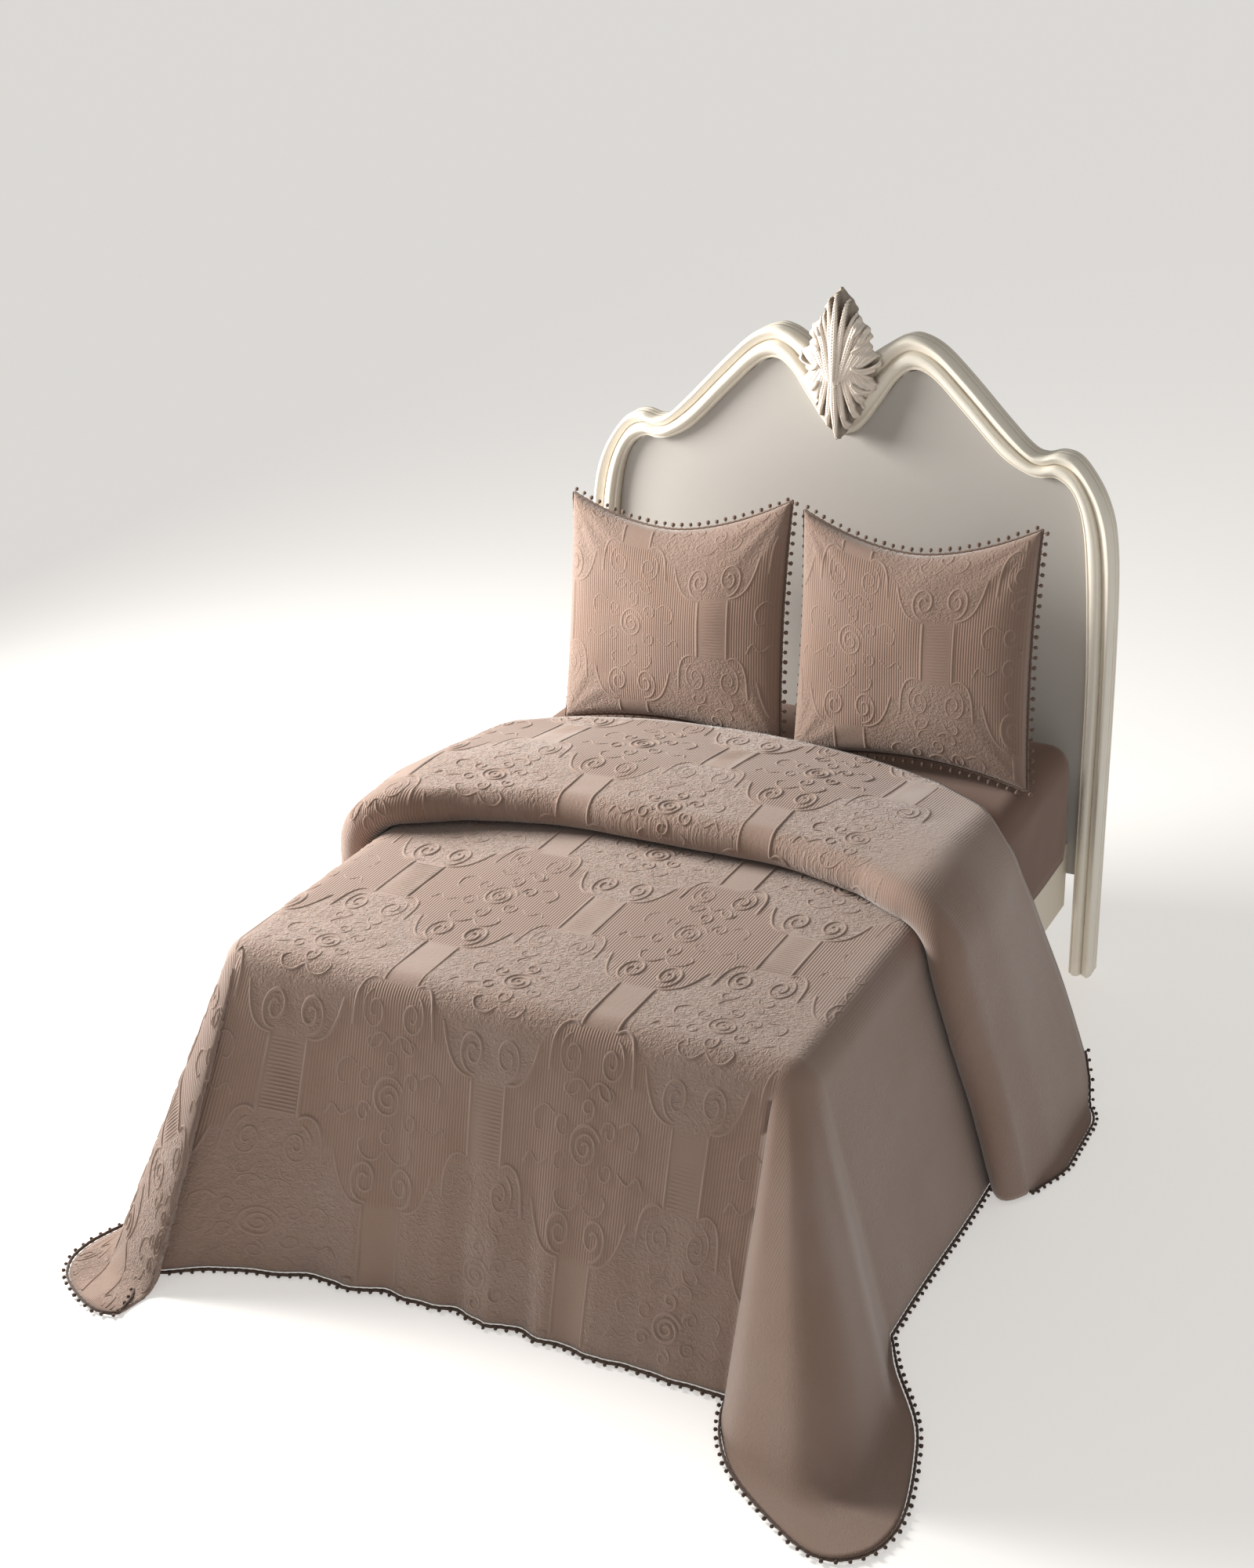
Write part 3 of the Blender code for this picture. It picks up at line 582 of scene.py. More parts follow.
def mix_colour(tree, factor, a, b):
    node = add_node(tree, "ShaderNodeMix", data_type="RGBA")
    for index, value in ((0, factor), (6, a), (7, b)):
        if hasattr(value, "is_output"):
            tree.links.new(value, node.inputs[index])
        else:
            node.inputs[index].default_value = value
    return node.outputs[2]


def quilt_material(name, colour, warm, plain=False):
    """Matelasse cotton: fine weave, pinstripes and a stippled ground where the masks say."""
    material, tree, shader = nodes_of(name)
    uv = add_node(tree, "ShaderNodeUVMap", uv_map="flat").outputs[0]
    split = add_node(tree, "ShaderNodeSeparateXYZ", ((0, uv),))
    s, t = split.outputs[0], split.outputs[1]
    stripe = add_node(tree, "ShaderNodeAttribute", attribute_name="stripe").outputs[2]
    stipple = add_node(tree, "ShaderNodeAttribute", attribute_name="stipple").outputs[2]
    strong = add_node(tree, "ShaderNodeAttribute", attribute_name="strong").outputs[2]
    wave = maths(tree, "SINE", maths(tree, "MULTIPLY", s, 2 * math.pi / 0.0068))
    pin = wave
    pin = maths(tree, "MULTIPLY", maths(tree, "MULTIPLY", pin, 0.00055), stripe)
    grain = add_node(
        tree,
        "ShaderNodeTexVoronoi",
        (("Vector", uv), ("Scale", 140.0)),
        feature="SMOOTH_F1",
    ).outputs[0]
    grain = maths(tree, "MULTIPLY", maths(tree, "MULTIPLY", grain, -0.0020), stipple)
    curl = add_node(
        tree,
        "ShaderNodeTexNoise",
        (("Vector", uv), ("Scale", 60.0), ("Detail", 1.0), ("Distortion", 2.2)),
    ).outputs[0]
    curl = maths(tree, "ABSOLUTE", maths(tree, "SUBTRACT", curl, 0.5))
    curl = maths(tree, "MULTIPLY", maths(tree, "MULTIPLY", curl, 0.006), stipple)
    height = maths(tree, "ADD", pin, maths(tree, "ADD", grain, curl))
    height = maths(tree, "MULTIPLY", height, strong)
    weave = maths(tree, "SINE", maths(tree, "MULTIPLY", s, 2 * math.pi / 0.0016))
    weft = maths(tree, "SINE", maths(tree, "MULTIPLY", t, 2 * math.pi / 0.0016))
    weave = maths(tree, "MULTIPLY", maths(tree, "MULTIPLY", weave, weft), 0.00005)
    height = maths(tree, "ADD", height, weave)
    bump = add_node(tree, "ShaderNodeBump", (("Height", height), ("Strength", 1.0), ("Distance", 1.0)))
    big = add_node(tree, "ShaderNodeTexNoise", (("Vector", uv), ("Scale", 3.2), ("Detail", 3.0)))
    tone = maths(tree, "MULTIPLY", maths(tree, "SUBTRACT", big.outputs[0], 0.42), 2.6, clamp=True)
    base = mix_colour(tree, tone, colour, warm)
    fine = add_node(tree, "ShaderNodeTexNoise", (("Vector", uv), ("Scale", 420.0), ("Detail", 2.0)))
    fine = maths(tree, "ADD", maths(tree, "MULTIPLY", fine.outputs[0], 0.16), 0.92)
    # Painted shade: the troughs between the pinstripe ridges get a darker, warmer copy of the cloth colour.
    groove_shade_colour = tuple(c * k for c, k in zip(colour[:3], (0.86, 0.74, 0.68))) + (1.0,)
    groove_shade = maths(tree, "MULTIPLY", maths(tree, "SUBTRACT", 0.5, maths(tree, "MULTIPLY", wave, 0.5)), stripe)
    groove_shade = maths(tree, "MULTIPLY", maths(tree, "MULTIPLY", groove_shade, strong), 0.7)
    base = mix_colour(tree, groove_shade, base, groove_shade_colour)
    scale = add_node(tree, "ShaderNodeVectorMath", ((0, base), (1, (1, 1, 1))), operation="MULTIPLY")
    grey = add_node(tree, "ShaderNodeCombineXYZ", ((0, fine), (1, fine), (2, fine)))
    tree.links.new(grey.outputs[0], scale.inputs[1])
    tree.links.new(scale.outputs[0], shader.inputs["Base Color"])
    tree.links.new(bump.outputs[0], shader.inputs["Normal"])
    shader.inputs["Roughness"].default_value = 0.82
    shader.inputs["Sheen Weight"].default_value = 0.45
    shader.inputs["Sheen Roughness"].default_value = 0.5
    shader.inputs["Specular IOR Level"].default_value = 0.25
    return material


def plain_cloth(name, colour, sheen=0.25):
    material, tree, shader = nodes_of(name)
    place = add_node(tree, "ShaderNodeTexCoord").outputs["Object"]
    fine = add_node(tree, "ShaderNodeTexNoise", (("Vector", place), ("Scale", 500.0), ("Detail", 2.0)))
    bump = add_node(
        tree, "ShaderNodeBump", (("Height", fine.outputs[0]), ("Strength", 0.4), ("Distance", 0.0006))
    )
    wide = add_node(tree, "ShaderNodeTexNoise", (("Vector", place), ("Scale", 6.0), ("Detail", 2.0)))
    dark = tuple(c * 0.82 for c in colour[:3]) + (1.0,)
    base = mix_colour(tree, wide.outputs[0], dark, colour)
    tree.links.new(base, shader.inputs["Base Color"])
    tree.links.new(bump.outputs[0], shader.inputs["Normal"])
    shader.inputs["Roughness"].default_value = 0.85
    shader.inputs["Sheen Weight"].default_value = sheen
    shader.inputs["Specular IOR Level"].default_value = 0.2
    return material


def paint_material(name, colour, glaze_and_shade_colour, rough=0.42, glaze_and_shade_base=0.5):
    """Painted wood, darker where the mask of hollows says: dark glaze, and on the carving also painted shade in its
    creases.
    """
    material, tree, shader = nodes_of(name)
    place = add_node(tree, "ShaderNodeTexCoord").outputs["Object"]
    hollow = add_node(tree, "ShaderNodeAttribute", attribute_name="hollow").outputs[2]
    blotch = add_node(
        tree, "ShaderNodeTexNoise", (("Vector", place), ("Scale", 14.0), ("Detail", 5.0), ("Roughness", 0.6))
    ).outputs[0]
    blotch = maths(tree, "MULTIPLY", maths(tree, "SUBTRACT", blotch, 0.40), 2.2, clamp=True)
    amount = maths(tree, "MULTIPLY", hollow, maths(tree, "ADD", maths(tree, "MULTIPLY", blotch, 0.6), glaze_and_shade_base), clamp=True)
    # The hollow mask mixes in the dark colour: glaze in the moulding's grooves; on the carving it is also painted shade
    # in the creases.
    base = mix_colour(tree, amount, colour, glaze_and_shade_colour)
    grain = add_node(
        tree, "ShaderNodeTexNoise", (("Vector", place), ("Scale", 60.0), ("Detail", 4.0))
    ).outputs[0]
    soft_tone = maths(tree, "MULTIPLY", grain, 0.22)
    warm = tuple(c * k for c, k in zip(colour[:3], (0.93, 0.88, 0.78))) + (1.0,)
    base = mix_colour(tree, soft_tone, base, warm)
    bump = add_node(tree, "ShaderNodeBump", (("Height", grain), ("Strength", 0.25), ("Distance", 0.0008)))
    tree.links.new(base, shader.inputs["Base Color"])
    tree.links.new(bump.outputs[0], shader.inputs["Normal"])
    shader.inputs["Roughness"].default_value = rough
    return material


COVER_A = (0.262, 0.176, 0.136, 1.0)
COVER_B = (0.285, 0.205, 0.170, 1.0)
quilt = quilt_material("quilted_cover", COVER_A, COVER_B)
braid = plain_cloth("pompom_braid", (0.185, 0.125, 0.096, 1.0))
hem_braid = plain_cloth("hem_braid", (0.085, 0.054, 0.040, 1.0))
sheet_cloth = plain_cloth("sheet_cotton", (0.190, 0.112, 0.082, 1.0), 0.15)
ivory = paint_material("ivory_paint", (0.86, 0.82, 0.73, 1.0), (0.40, 0.30, 0.18, 1.0))
# The near-black second colour is the carving's dark glaze and its painted crease shade.
carving = paint_material("carved_paint", (0.82, 0.74, 0.66, 1.0), (0.10, 0.066, 0.040, 1.0), 0.45, 0.70)
panel_paint = paint_material("panel_paint", (0.430, 0.414, 0.392, 1.0), (0.5, 0.5, 0.5, 1.0), 0.6, 0.0)
plain_paint = paint_material("plain_paint", (0.72, 0.66, 0.56, 1.0), (0.3, 0.22, 0.14, 1.0), 0.5, 0.0)
board_wood = paint_material("slat_wood", (0.45, 0.33, 0.21, 1.0), (0.3, 0.2, 0.1, 1.0), 0.7, 0.0)

# ---------------------------------------------------------------- pattern

REPEAT_S = 0.494
REPEAT_T = 0.720
START_T = -0.240
OGEE = (
    (0.095, 0.0425),
    (0.115, 0.085),
    (0.150, 0.105),
    (0.210, 0.120),
    (0.235, 0.147),
    (0.262, 0.190),
    (0.270, 0.2045),
    (0.450, 0.2045),
    (0.460, 0.175),
    (0.500, 0.147),
    (0.550, 0.127),
    (0.570, 0.100),
    (0.600, 0.090),
    (0.615, 0.060),
    (0.625, 0.0425),
)
OGEE_V = [row[0] for row in OGEE]
OGEE_W = [row[1] for row in OGEE]


def ground(s, t):
    """Share of pinstripe and of stippled ground at a flat place."""
    u = (s + REPEAT_S / 2) % REPEAT_S - REPEAT_S / 2
    v = (t - START_T) % REPEAT_T
    if (v < 0.095 or v > 0.625) and abs(u) < 0.0425:
        return 0.0, 0.0
    if 0.265 < v < 0.455 and abs(u) > 0.2045:
        return 0.0, 0.15
    if 0.095 <= v <= 0.625 and abs(u) < np.interp(v, OGEE_V, OGEE_W):
        return 0.0, 1.0
    return 1.0, 0.0


def curve(points, step=0.010):
    """A smooth line through a few points."""
    pts = [np.array(p, float) for p in points]
    pts = [2 * pts[0] - pts[1]] + pts + [2 * pts[-1] - pts[-2]]
    out = []
    for i in range(1, len(pts) - 2):
        a, b, c, d = pts[i - 1 : i + 3]
        n = max(2, int(np.linalg.norm(c - b) / step))
        for k in range(n):
            f = k / n
            out.append(
                0.5 * (2 * b + (c - a) * f + (2 * a - 5 * b + 4 * c - d) * f**2 + (3 * b - a - 3 * c + d) * f**3)
            )
    out.append(pts[-2])
    return [tuple(p) for p in out]


def spiral(cx, cy, rx, ry, start, turns, way, inner=0.18, n=34):
    out = []
    for k in range(n + 1):
        f = k / n
        r = 1 - (1 - inner) * f
        a = math.radians(start) + way * 2 * math.pi * turns * f
        out.append((cx + rx * r * math.cos(a), cy + ry * r * math.sin(a)))
    return out


MAIN, THIN, RIB = (0.0044, 0.0028), (0.0032, 0.0021), (0.0028, 0.0015)


def ladder_motif(ribs):
    """Lines about a ladder or a plain neck: (points, (half width, height))."""
    lines = []
    for m in (-1, 1):
        lines.append((curve([(0.0425 * m, -0.095), (0.0425 * m, 0.095)]), MAIN))
        flare = [(0.043, 0.096), (0.066, 0.100), (0.090, 0.120), (0.108, 0.160), (0.121, 0.212)]
        lines.append((curve([(x * m, y) for x, y in flare]), MAIN))
        arch = [(0.043, -0.096), (0.060, -0.086), (0.082, -0.097), (0.096, -0.135), (0.101, -0.205)]
        lines.append((curve([(x * m, y) for x, y in arch]), MAIN))
        start = 260 if m > 0 else 280
        lines.append((spiral(0.043 * m, 0.158, 0.034, 0.054, start, 1.7, m), MAIN))
        start = 75 if m > 0 else 105
        lines.append((spiral(0.047 * m, -0.160, 0.032, 0.050, start, 1.6, -m), THIN))
        curl = [(0.020, -0.215), (0.030, -0.240), (0.052, -0.248), (0.060, -0.230), (0.050, -0.217)]
        lines.append((curve([(x * m, y) for x, y in curl], 0.008), THIN))
    if ribs:
        for k in range(19):
            y = -0.086 + 0.00955 * k
            lines.append((curve([(-0.036, y), (0.036, y)], 0.018), RIB))
    return lines


def medallion(tall):
    """A rose with scrolls about it."""
    lines = [(spiral(0, 0, 0.040, 0.040 * tall, 20, 2.4, 1, 0.12, 52), MAIN)]
    for k in range(6):
        a = math.radians(60 * k + 30)
        cx, cy = 0.066 * math.cos(a), 0.066 * math.sin(a) * tall
        lines.append((spiral(cx, cy, 0.020, 0.022 * tall, 60 * k + 200, 1.15, 1 if k % 2 else -1, 0.3, 20), THIN))
    for m in (-1, 1):
        top = [(0.0, 0.095), (0.020, 0.112), (0.044, 0.106), (0.052, 0.086), (0.040, 0.078)]
        lines.append((curve([(x * m, y * tall) for x, y in top], 0.008), THIN))
        low = [(0.0, -0.092), (0.024, -0.112), (0.052, -0.108), (0.064, -0.086), (0.050, -0.074)]
        lines.append((curve([(x * m, y * tall) for x, y in low], 0.008), THIN))
        wing = [(0.078, 0.045), (0.104, 0.058), (0.128, 0.040), (0.122, 0.012), (0.104, 0.014)]
        lines.append((curve([(x * m, y * tall) for x, y in wing], 0.008), THIN))
        wing = [(0.084, -0.030), (0.112, -0.046), (0.134, -0.030), (0.150, -0.052)]
        lines.append((curve([(x * m, y * tall) for x, y in wing], 0.008), THIN))
    return lines


LADDER, NECK = ladder_motif(True), ladder_motif(False)
ROUND_ROSE, TALL_ROSE = medallion(1.0), medallion(1.35)


def pattern_lines(s0, s1, t0, t1, shift_s=0.0, shift_t=0.0):
    """All the lines of the quilting that touch a rectangle of the flat cloth."""
    out = []
    for i in range(int((s0 - shift_s) / REPEAT_S) - 2, int((s1 - shift_s) / REPEAT_S) + 3):
        for j in range(int((t0 - shift_t) / REPEAT_T) - 2, int((t1 - shift_t) / REPEAT_T) + 3):
            s, t = shift_s + i * REPEAT_S, shift_t + START_T + j * REPEAT_T
            for motif, ds, dt in (
                (LADDER, 0.0, 0.0),
                (NECK, REPEAT_S / 2, REPEAT_T / 2),
                (ROUND_ROSE, 0.0, REPEAT_T / 2),
                (TALL_ROSE, REPEAT_S / 2, 0.0),
            ):
                cs, ct = s + ds, t + dt
                if cs < s0 - 0.2 or cs > s1 + 0.2 or ct < t0 - 0.3 or ct > t1 + 0.3:
                    continue
                for points, size in motif:
                    out.append(([(cs + x, ct + y) for x, y in points], size))
    return out


def ribbons(lines, surface, strength, up_sign=1.0):
    """Raised lines on a surface, five points across."""
    points, faces = [], []
    offsets = ((-1.0, 0.0), (-0.5, 0.62), (0.0, 1.0), (0.5, 0.62), (1.0, 0.0))
    for line, (half, high) in lines:
        if len(line) < 2:
            continue
        before = None
        for k, (s, t) in enumerate(line):
            a = line[max(0, k - 1)]
            b = line[min(len(line) - 1, k + 1)]
            ds, dt = b[0] - a[0], b[1] - a[1]
            size = math.hypot(ds, dt) or 1.0
            ns, nt = -dt / size, ds / size
            here = surface(s, t)
            left = surface(s + ns * half, t + nt * half)
            right = surface(s - ns * half, t - nt * half)
            ahead = surface(s + ds / size * 0.003, t + dt / size * 0.003)
            if here is None or left is None or right is None or ahead is None:
                before = None
                continue
            normal = (ahead - here).cross(left - right)
            if normal.length < 1e-12:
                before = None
                continue
            normal = normal.normalized() * up_sign
            end = 1.0
            if k == 0 or k == len(line) - 1:
                end = 0.15
            force = strength(s, t)
            if force < 0.42:
                before = None
                continue
            grow = high * force * end
            ring = []
            for side, lift in offsets:
                if side < 0:
                    base = here.lerp(left, -side)
                else:
                    base = here.lerp(right, side)
                ring.append(len(points))
                point = base + normal * (CLOTH / 2 - 0.0003 + grow * lift)
                points.append(Vector((point.x, point.y, max(point.z, 0.0004))))
            if before is not None:
                for m in range(4):
                    faces.append((before[m], ring[m], ring[m + 1], before[m + 1]))
            before = ring
    return points, faces


def lower_strength(s, t):
    """How strongly the quilting shows: less on the shaded right side."""
    k = 1.0 - 0.70 * ease(0.56, 0.74, s)
    if s > INNER and t < ROUND:
        k *= 0.6
    return k


def band_strength(s, t):
    return 1.0 - 0.72 * ease(0.42, 0.70, s)


# ---------------------------------------------------------------- bedspread

surface, flat, layers, faces, grid, foot, corner_hems = spread_surface()
normals = normals_of(surface, faces)
moved = []
for p, n, (s, t), layer in zip(surface, normals, flat, layers):
    amount = soft(s, t, layer * 5.0)
    if p.z < 0.03:
        amount = 0.0
    moved.append(p + n * amount)
shell, solid = thicken(moved, faces, CLOTH)
spread = make("bedspread_cloth", shell, solid, quilt)
layer_of = layers + layers
flat_of = flat + flat


def paint_ground(thing, flat_of, strengths, shift=(0.0, 0.0), offsets=None):
    mesh = thing.data
    uv = mesh.uv_layers.new(name="flat")
    loops = np.zeros(len(mesh.loops), dtype=np.int32)
    mesh.loops.foreach_get("vertex_index", loops)
    places = np.array(flat_of, float)
    uv.data.foreach_set("uv", places[loops].astype(np.float32).ravel())
    stripes = np.zeros(len(flat_of), np.float32)
    stipples = np.zeros(len(flat_of), np.float32)
    for i, (s, t) in enumerate(flat_of):
        dt = 0.0 if offsets is None else offsets[i]
        stripes[i], stipples[i] = ground(s - shift[0], t - shift[1] - dt)
    for name, values in (("stripe", stripes), ("stipple", stipples), ("strong", strengths)):
        attribute = mesh.attributes.new(name, "FLOAT", "POINT")
        attribute.data.foreach_set("value", np.array(values, np.float32))


BAND_SHIFT = 0.071
strengths = [
    band_strength(s, t) if k > 0.5 else lower_strength(s, t) for (s, t), k in zip(flat_of, layer_of)
]
paint_ground(spread, flat_of, strengths, offsets=[BAND_SHIFT if k > 0.5 else 0.0 for k in layer_of])


def lower_surface(s, t):
    if t > 0.93:
        return None
    p = cloth_at(s, t)
    return p


lines = pattern_lines(-1.40, 1.40, -0.95, 0.95)
points, ribs = ribbons(lines, lower_surface, lower_strength)
quilting = make("bedspread_quilting", points, ribs, quilt)
lines = pattern_lines(-1.40, 1.40, 0.60, 1.60, 0.0, BAND_SHIFT)
points, ribs = ribbons(lines, band_at, band_strength)
quilting_band = make("bedspread_band_quilting", points, ribs, quilt)
for thing in (quilting, quilting_band):
    mesh = thing.data
    mesh.uv_layers.new(name="flat")
    for name, value in (("stripe", 0.0), ("stipple", 0.0), ("strong", 1.0)):
        attribute = mesh.attributes.new(name, "FLOAT", "POINT")
        attribute.data.foreach_set("value", [value] * len(mesh.vertices))

# ---------------------------------------------------------------- pompom braid


def ball(centre, out, size, points, faces, rings=5, around=8, seed=0):
    """A small tufted ball on a short stem."""
    side = out.cross(Vector((0.31, 0.17, 0.93))).normalized()
    up = side.cross(out).normalized()
    start = len(points)
    for i in range(1, rings):
        a = math.pi * i / rings
        for j in range(around):
            b = 2 * math.pi * j / around
            r = size * (1 + 0.16 * math.sin(3.1 * i + 2.7 * j + seed))
            points.append(
                centre + out * (-r * math.cos(a)) + (side * math.cos(b) + up * math.sin(b)) * r * math.sin(a)
            )
    low, high = len(points), len(points) + 1
    points.append(centre - out * size)
    points.append(centre + out * size)
    for i in range(rings - 2):
        for j in range(around):
            k = (j + 1) % around
            a, b = start + i * around, start + (i + 1) * around
            faces.append((a + j, b + j, b + k, a + k))
    for j in range(around):
        k = (j + 1) % around
        faces.append((low, start + j, start + k))
        last = start + (rings - 2) * around
        faces.append((high, last + k, last + j))


def stem(a, b, width, points, faces):
    out = (b - a).normalized()
    side = out.cross(Vector((0.31, 0.17, 0.93))).normalized()
    up = side.cross(out).normalized()
    start = len(points)
    for p in (a, b):
        for k in range(4):
            t = math.pi / 2 * k
            points.append(p + (side * math.cos(t) + up * math.sin(t)) * width)
    for k in range(4):
        m = (k + 1) % 4
        faces.append((start + k, start + m, start + 4 + m, start + 4 + k))


def resample(path, outs, ups, step, closed):
    pairs = list(zip(path, path[1:] + path[:1])) if closed else list(zip(path, path[1:]))
    lengths = [0.0]
    for a, b in pairs:
        lengths.append(lengths[-1] + (b - a).length)
    count = max(2, round(lengths[-1] / step))
    result = []
    k = 0
    for i in range(count if closed else count + 1):
        s = min(lengths[-1] * i / count, lengths[-1] - 1e-9)
        while lengths[k + 1] < s:
            k += 1
        f = (s - lengths[k]) / max(1e-9, lengths[k + 1] - lengths[k])
        m = (k + 1) % len(path)
        result.append(
            (path[k].lerp(path[m], f), outs[k].lerp(outs[m], f).normalized(), ups[k].lerp(ups[m], f).normalized())
        )
    return result


def trim(name, path, outs, ups, closed, gap=0.026, tall=0.0055, stand=0.0165, size=0.0062, lean=0.0, stuff=braid, deep=0.6):
    """A woven braid with a row of pompoms along its outer edge."""
    points, faces = [], []
    fine = resample(path, outs, ups, 0.006, closed)
    rings = []
    for k, (p, out, up) in enumerate(fine):
        twist = 0.0007 * math.sin(k * math.pi / 1.5)
        ring = []
        for a, b in ((-1, -0.6), (0, -1), (1, -0.6), (1, 0.6), (0, 1), (-1, 0.6)):
            ring.append(len(points))
            points.append(p + out * (tall / 2 * a + twist) + up * (tall * deep * b))
        rings.append(ring)
    joins = list(zip(rings, rings[1:] + rings[:1])) if closed else list(zip(rings, rings[1:]))
    for a, b in joins:
        for k in range(6):
            m = (k + 1) % 6
            faces.append((a[k], a[m], b[m], b[k]))
    if not closed:
        faces.append(tuple(rings[0])[::-1])
        faces.append(tuple(rings[-1]))
    for k, (p, out, up) in enumerate(resample(path, outs, ups, gap, closed)):
        wobble = 0.3 * math.sin(k * 2.4) * (0.4 if lean else 1.0)
        way = (out + up * (lean + 0.25 * wobble)).normalized()
        reach = stand * (1 + 0.08 * math.sin(k * 3.7))
        tip = p + way * reach
        if not closed:
            tip.z = max(tip.z, size * 1.3 + 0.0012)
        stem(p, tip, 0.0011, points, faces)
        ball(tip, way, size * (1 + 0.08 * math.sin(k * 1.9)), points, faces, seed=k)
    return make(name, points, faces, stuff)


def hem_line(pairs, high):
    gap = CLOTH / 2 + 0.0002 + 0.00275
    path, outs = [], []
    for i, (hem, before) in enumerate(pairs):
        away = moved[hem] - moved[before]
        sides = []
        for a, b in ((i - 1, i), (i, i + 1)):
            if a < 0 or b >= len(pairs):
                continue
            run = moved[pairs[b][0]] - moved[pairs[a][0]]
            square = Vector((run.y, -run.x, 0.0)).normalized()
            sides.append(square if square.dot(away) > 0 else -square)
        out = (sides[0] + sides[-1]).normalized()
        place = moved[hem] + out * gap / max(0.5, out.dot(sides[0]))
        path.append(Vector((place.x, place.y, max(place.z, high))))
        outs.append(out)
    return path, outs


falls = len(FALL_STEPS) - 1
base_rows = ROWS[0][1]
pairs = []
for k in range(base_rows - 6, 0, -1):
    pairs.append((grid[k][0], grid[k][1]))
side_columns = []
inside_of = {}
for face in faces:
    for i, j in zip(face, tuple(face[1:]) + tuple(face[:1])):
        inside_of.setdefault(i, set()).add(j)
        inside_of.setdefault(j, set()).add(i)
rim = set(row[0] for row in grid) | set(row[-1] for row in grid)
rim |= set(column[-1] for column in foot) | set(corner_hems[0]) | set(corner_hems[1])
for line in (corner_hems[0], [c[-1] for c in foot][1:-1], corner_hems[1][::-1]):
    for hem in line:
        pairs.append((hem, [n for n in inside_of[hem] if n not in rim][0]))
for k in range(1, base_rows - 5):
    pairs.append((grid[k][-1], grid[k][-2]))
path, outs = hem_line(pairs, 0.0066)
path = [Vector((p.x, p.y, 0.0084)) for p in path]
ups = [Vector((0, 0, 1))] * len(path)
hem_trim = trim("hem_pompoms", path, outs, ups, False, stand=0.0080, size=0.0046, stuff=hem_braid, deep=0.9)
band_trims = []
for name, side in (("band_pompoms_left", 0), ("band_pompoms_right", -1)):
    inner = 1 if side == 0 else -2
    pairs = [(grid[k][side], grid[k][inner]) for k in range(len(grid) - ROWS[4][1], len(grid))]
    path, outs = hem_line(pairs, 0.0066)
    ups = []
    for i in range(len(path)):
        run = (path[min(len(path) - 1, i + 1)] - path[max(0, i - 1)]).normalized()
        outs[i] = (outs[i] - run * outs[i].dot(run)).normalized()
        up = run.cross(outs[i])
        ups.append(up if up.z > 0 else -up)
    band_trims.append(trim(name, path, outs, ups, False, stand=0.0080, size=0.0046, stuff=hem_braid))

# ---------------------------------------------------------------- shams

SHAM_WIDE, SHAM_HIGH, SHAM_CROWN = 0.650, 0.665, 0.083
LEAN = math.radians(17.0)
SHAM_FOOT_Y = 1.570
SAG_TOP, SAG_SIDE, SAG_BOTTOM = 0.090, 0.012, 0.040
SLANT = 0.050


def sham_edge(a, b, tilt):
    x = a * (SHAM_WIDE / 2 - SAG_SIDE * (1 - b * b)) - SLANT * b / 2
    up = 0.5 + 0.5 * b
    low = -SHAM_HIGH / 2 + SAG_BOTTOM * (1 - a * a)
    high = SHAM_HIGH / 2 - SAG_TOP * (1 - abs(a) ** 1.8) - tilt * (1 - a) / 2
    return x, low + (high - low) * up


